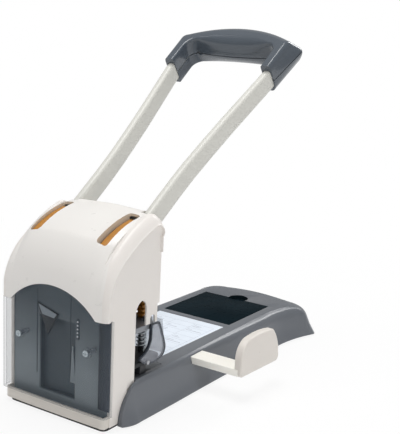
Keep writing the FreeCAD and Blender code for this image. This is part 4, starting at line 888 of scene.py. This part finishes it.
def make_guard():
    """The clear shield: a bellied sheet between two hook-shaped ends; its thick rims are tinted with painted
    gap shadow.
    """
    outer = [(8.5, 84.0)] + arc_points((8.5, 84.0), (10.9, 68.0), (11.2, 60.0), 14)
    outer += arc_points((11.2, 60.0), (11.0, 55.5), (10.2, 51.5), 8)
    inner = [(y - guard_wall, z) for y, z in reversed(outer)]
    sheet = prism("guard_sheet", "yz", outer + inner, -guard_inner, guard_inner)
    finish(sheet, "body", guard_clear, "guard_clear", "finger_guard", degrees=35.0)
    front = [(1.0, 84.0)] + arc_points((1.0, 84.0), (6.8, 72.0), (11.2, 60.0), 16)
    front += arc_points((11.2, 60.0), (10.4, 52.0), (5.0, 47.6), 12)
    front += arc_points((5.0, 47.6), (-3.0, 46.1), (-12.0, 46.1), 10)
    front += arc_points((-12.0, 46.1), (-20.0, 48.4), (-27.5, 54.0), 12)
    hook = [(-25.5, 56.6)] + arc_points((-25.5, 56.6), (-15.5, 62.0), (-11.2, 71.0), 16) + [(-10.8, 84.0)]
    outline = front + hook
    for side in (-1, 1):
        x0, x1 = sorted((side * guard_inner, side * guard_outer))
        rim = prism("guard_rim", "yz", outline, x0, x1)
        cut(rim, prism("guard_room", "yz", inset_loop(outline, 1.3), -70.0, 70.0))
        finish(rim, "body", guard_edge, "guard_clear", "finger_guard", degrees=35.0)
        x0, x1 = sorted((side * 58.0, side * 59.5))
        face = prism("guard_face", "yz", inset_loop(outline, 1.3), x0, x1)
        finish(face, "body", guard_clear, "guard_clear", "finger_guard", degrees=35.0)
        # A black band inside each rim: painted shadow in the gap where the guard meets the side wall.
        band = hook + [(y - 0.2, z) for y, z in reversed(inset_loop(outline, 3.4)[len(front):])]
        x0, x1 = sorted((side * 57.0, side * 57.9))
        gap_shadow = prism("guard_gap_shadow", "yz", band, x0, x1)
        finish(gap_shadow, "body", black_plate, "black_plate", degrees=35.0)


def make_panel():
    """The grey wall behind the cover, with its deep pocket, two fine ribs and two screw posts."""
    pocket = (pocket_left, pocket_right)
    pocket_height = (pocket_low, pocket_high)
    plate = block("inner_panel_plate", -56.8, 56.8, panel_front, panel_front + 2.0, 5.0, 122.0)
    cut(plate, block("pocket_room", *pocket, -70.0, -60.0, *pocket_height))
    finish(plate, "body", panel_grey, "panel_grey", "inner_panel", degrees=35.0)
    box_wall = block("pocket_wall", pocket_left - 1.5, pocket_right + 1.5, -66.2, -60.3,
                     pocket_low - 1.5, pocket_high + 1.5)
    cut(box_wall, block("pocket_inside", *pocket, -70.0, -61.8, *pocket_height))
    finish(box_wall, "body", pocket_grey, "panel_grey", "inner_panel", degrees=35.0)
    for x in (-28.0, 12.0):
        rib = block("panel_rib", x - 0.3, x + 0.3, -68.5, -67.9, 33.0, 114.0)
        finish(rib, "body", pocket_grey, "panel_grey", "inner_panel", degrees=35.0)
    for x in (-40.0, 40.0):
        post = prism("panel_post", "xz", disc(x, 71.0, 2.4, 24), -77.0, -67.9)
        finish(post, "body", guard_clear, "panel_grey", "inner_panel", degrees=35.0)


def make_pointer():
    """The pale upper part of the dark pointer behind the cover."""
    outline = [(-25.4, 100.3), (-3.4, 94.4), (-6.3, 90.2), (-20.5, 91.2)]
    label = prism("pointer_label", "xz", outline, -69.75, -69.62)
    finish(label, "body", pointer_grey, "black_plate", degrees=35.0)


def make_depth_scale():
    """The narrow strip beside the pocket, with a column of plain dots."""
    strip = block("depth_strip", 19.6, 22.4, -68.8, -68.0, 76.0, 95.0)
    finish(strip, "body", pocket_grey, "scale_strip", "depth_scale", degrees=35.0)
    for i in range(5):
        dot = prism("depth_dot", "xz", disc(21.0, 79.0 + 3.4 * i, 0.8, 16), -69.1, -68.8)
        finish(dot, "body", strip_white, "scale_strip", "depth_scale", degrees=35.0)


def make_vane():
    """The pale upright vane inside the pocket, wider towards its foot."""
    vane = prism("pocket_vane", "xz", [(8.2, 31.0), (14.6, 31.0), (11.2, 66.0), (10.0, 66.0)], -63.4, -62.0)
    finish(vane, "body", pale_vane, "pale_vane", "pocket_blade", degrees=35.0)


def make_card_print():
    """Plain rows and columns of grey rules with short bars between them, on the card."""
    first_row, row_pitch, rows = 30.0, 12.6, 9
    first_column, column_pitch, columns = -36.0, 26.0, 3
    rule = 0.35
    points = []
    faces = []

    def bar(x0, x1, y0, y1):
        start = len(points)
        z = table_top + 0.01
        points.extend([(x0, y0, z), (x1, y0, z), (x1, y1, z), (x0, y1, z)])
        faces.append((start, start + 1, start + 2, start + 3))

    for i in range(rows):
        y = first_row + row_pitch * i
        bar(-38.0, 38.0, y, y + rule)
        for k in range(columns):
            x = first_column + column_pitch * k
            if i < rows - 1 and (2 * i + k) % 3:
                bar(x, x + 9.0 + 5.0 * ((i + k) % 3), y + 4.2, y + 5.2)
                bar(x, x + 5.0 + 4.0 * ((i + 2 * k) % 2), y + 7.6, y + 8.5)
    for x in (-38.0, -12.0, 14.0, 37.6):
        bar(x, x + rule, first_row, 131.0)
    print_lines = add_mesh("card_print", points, faces)
    return finish(print_lines, "body", ink_grey, "card")


def dress_nodes():
    """Each CAD node gets its finish. Those that still show also get fine round edges, but not the cover."""
    finishes = {
        zinc: ["base_screws", "lid_pin", "frame_bolts", "tie_rods", "spacer_sleeves", "rack_guide_screws",
               "block_screws", "die_screws", "guard_screws", "sector_bolts", "core_screws", "grip_screws",
               "rack_clamps"],
        rubber: ["rubber_mat", "rear_feet"],
        steel_plate: ["floor_plate", "frame_left", "frame_right", "rack_guide", "grip_core"],
        dark_plastic: ["storage_tray", "paper_stop"],
        tool_steel: ["spare_punches", "pivot_shaft", "punch_left", "punch_right"],
        spring_steel: ["shaft_clips"],
        slate: ["tray_lid"],
        white: ["hood"],
        sill_cream: ["front_sill"],
        # The side seal is a dark strip of painted shade inside the cover's right-hand edge.
        shade_strip_black: ["side_seal"],
        cream: ["cheek_left", "cheek_right"],
        smoke: ["front_cover"],
        screw_chrome: ["cover_screws"],
        black_plate: ["pointer_plate"],
        bronze: ["shaft_bushes"],
        cast_dark: ["guide_block"],
        die_steel: ["die_plate"],
        arm_white: ["arm_left", "arm_right"],
        amber: ["sector_left", "sector_right", "rack_left", "rack_right"],
        grip_grey: ["grip_top", "grip_bottom"],
        bar_grey: ["pressure_bar"],
        rail_cream: ["guide_rail"],
        paddle_cream: ["guide_paddle"],
        drawer_grey: ["chip_drawer"],
        base_grey: ["base_shell"],
        card_white: ["format_card"],
    }
    for material, names in finishes.items():
        for name in names:
            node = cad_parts[name]
            node.data.materials.clear()
            node.data.materials.append(material)
            if not node.hide_render and material is not smoke:
                weld = node.modifiers.new("weld", "WELD")
                weld.merge_threshold = weld_gap
                bevel(node, node_edge, 2, 40.0)
                shade(node, 30.0)


# The camera, the lamps and the backdrop

def make_view():
    bpy.context.scene.view_settings.view_transform = "Standard"


def make_camera():
    """The camera at the photograph's viewing angle."""
    data = bpy.data.cameras.new("camera")
    data.lens = camera_lens
    data.sensor_width = 36.0
    data.sensor_fit = "AUTO"
    data.clip_start = 0.05
    data.clip_end = 50.0
    camera = bpy.data.objects.new("camera", data)
    bpy.context.scene.collection.objects.link(camera)
    turn = Matrix((camera_right, camera_up, -camera_ahead)).transposed().to_4x4()
    camera.matrix_world = Matrix.Translation(camera_place) @ turn
    bpy.context.scene.camera = camera


def area_light(name, place, target, size, power):
    data = bpy.data.lights.new(name, "AREA")
    data.shape = "RECTANGLE"
    data.size, data.size_y = size
    data.energy = power
    light = bpy.data.objects.new(name, data)
    bpy.context.scene.collection.objects.link(light)
    light.location = place
    light.rotation_euler = (Vector(target) - Vector(place)).to_track_quat("-Z", "Y").to_euler()


def white_for_camera(nodes, links):
    """1 for rays that come from the camera or a mirror or through clear plastic, else 0."""
    rays = nodes.new("ShaderNodeLightPath")
    first = nodes.new("ShaderNodeMath")
    first.operation = "MAXIMUM"
    links.new(rays.outputs["Is Camera Ray"], first.inputs[0])
    links.new(rays.outputs["Is Glossy Ray"], first.inputs[1])
    second = nodes.new("ShaderNodeMath")
    second.operation = "MAXIMUM"
    links.new(first.outputs[0], second.inputs[0])
    links.new(rays.outputs["Is Transmission Ray"], second.inputs[1])
    return second.outputs[0]


def make_world():
    """A white backdrop that lights the object more softly than it shows."""
    world = bpy.data.worlds.new("world")
    bpy.context.scene.world = world
    world.use_nodes = True
    nodes, links = world.node_tree.nodes, world.node_tree.links
    background = nodes["Background"]
    background.inputs["Color"].default_value = (1.0, 1.0, 1.0, 1.0)
    strength = nodes.new("ShaderNodeMapRange")
    strength.inputs["To Min"].default_value = world_light
    strength.inputs["To Max"].default_value = white_light
    links.new(nodes.new("ShaderNodeLightPath").outputs["Is Camera Ray"], strength.inputs["Value"])
    links.new(strength.outputs["Result"], background.inputs["Strength"])


def make_floor():
    """A pale floor that fades to white away from the object."""
    floor = add_mesh("floor", [(-6000, -6000, 0), (6000, -6000, 0), (6000, 6000, 0), (-6000, 6000, 0)],
                     [(0, 1, 2, 3)])
    material, nodes, links, shader = new_material("floor")
    shader.inputs["Base Color"].default_value = (0.9, 0.9, 0.9, 1.0)
    shader.inputs["Roughness"].default_value = 0.9
    glow = nodes.new("ShaderNodeEmission")
    glow.inputs["Strength"].default_value = white_light
    mix = nodes.new("ShaderNodeMixShader")
    where = nodes.new("ShaderNodeTexCoord")
    reach = nodes.new("ShaderNodeVectorMath")
    reach.operation = "LENGTH"
    links.new(where.outputs["Object"], reach.inputs[0])
    share = nodes.new("ShaderNodeMath")
    share.operation = "MULTIPLY"
    links.new(white_for_camera(nodes, links), share.inputs[0])
    links.new(mapped(nodes, links, reach.outputs["Value"], 0.84, 1.0, 0.2, 0.75), share.inputs[1])
    links.new(share.outputs[0], mix.inputs[0])
    links.new(shader.outputs[0], mix.inputs[1])
    links.new(glow.outputs[0], mix.inputs[2])
    links.new(mix.outputs[0], nodes["Material Output"].inputs["Surface"])
    floor.data.materials.append(material)


def make_stage():
    make_world()
    make_floor()
    for lamp in lamps:
        area_light(*lamp)


make_view()
make_camera()
make_stage()
make_base()
make_hood()
make_cheek(1)
make_cheek(-1)
make_grip()
make_paddle()
make_springs()
make_guard()
make_panel()
make_pointer()
make_depth_scale()
make_vane()
make_card_print()
dress_nodes()

bpy.context.view_layer.update()
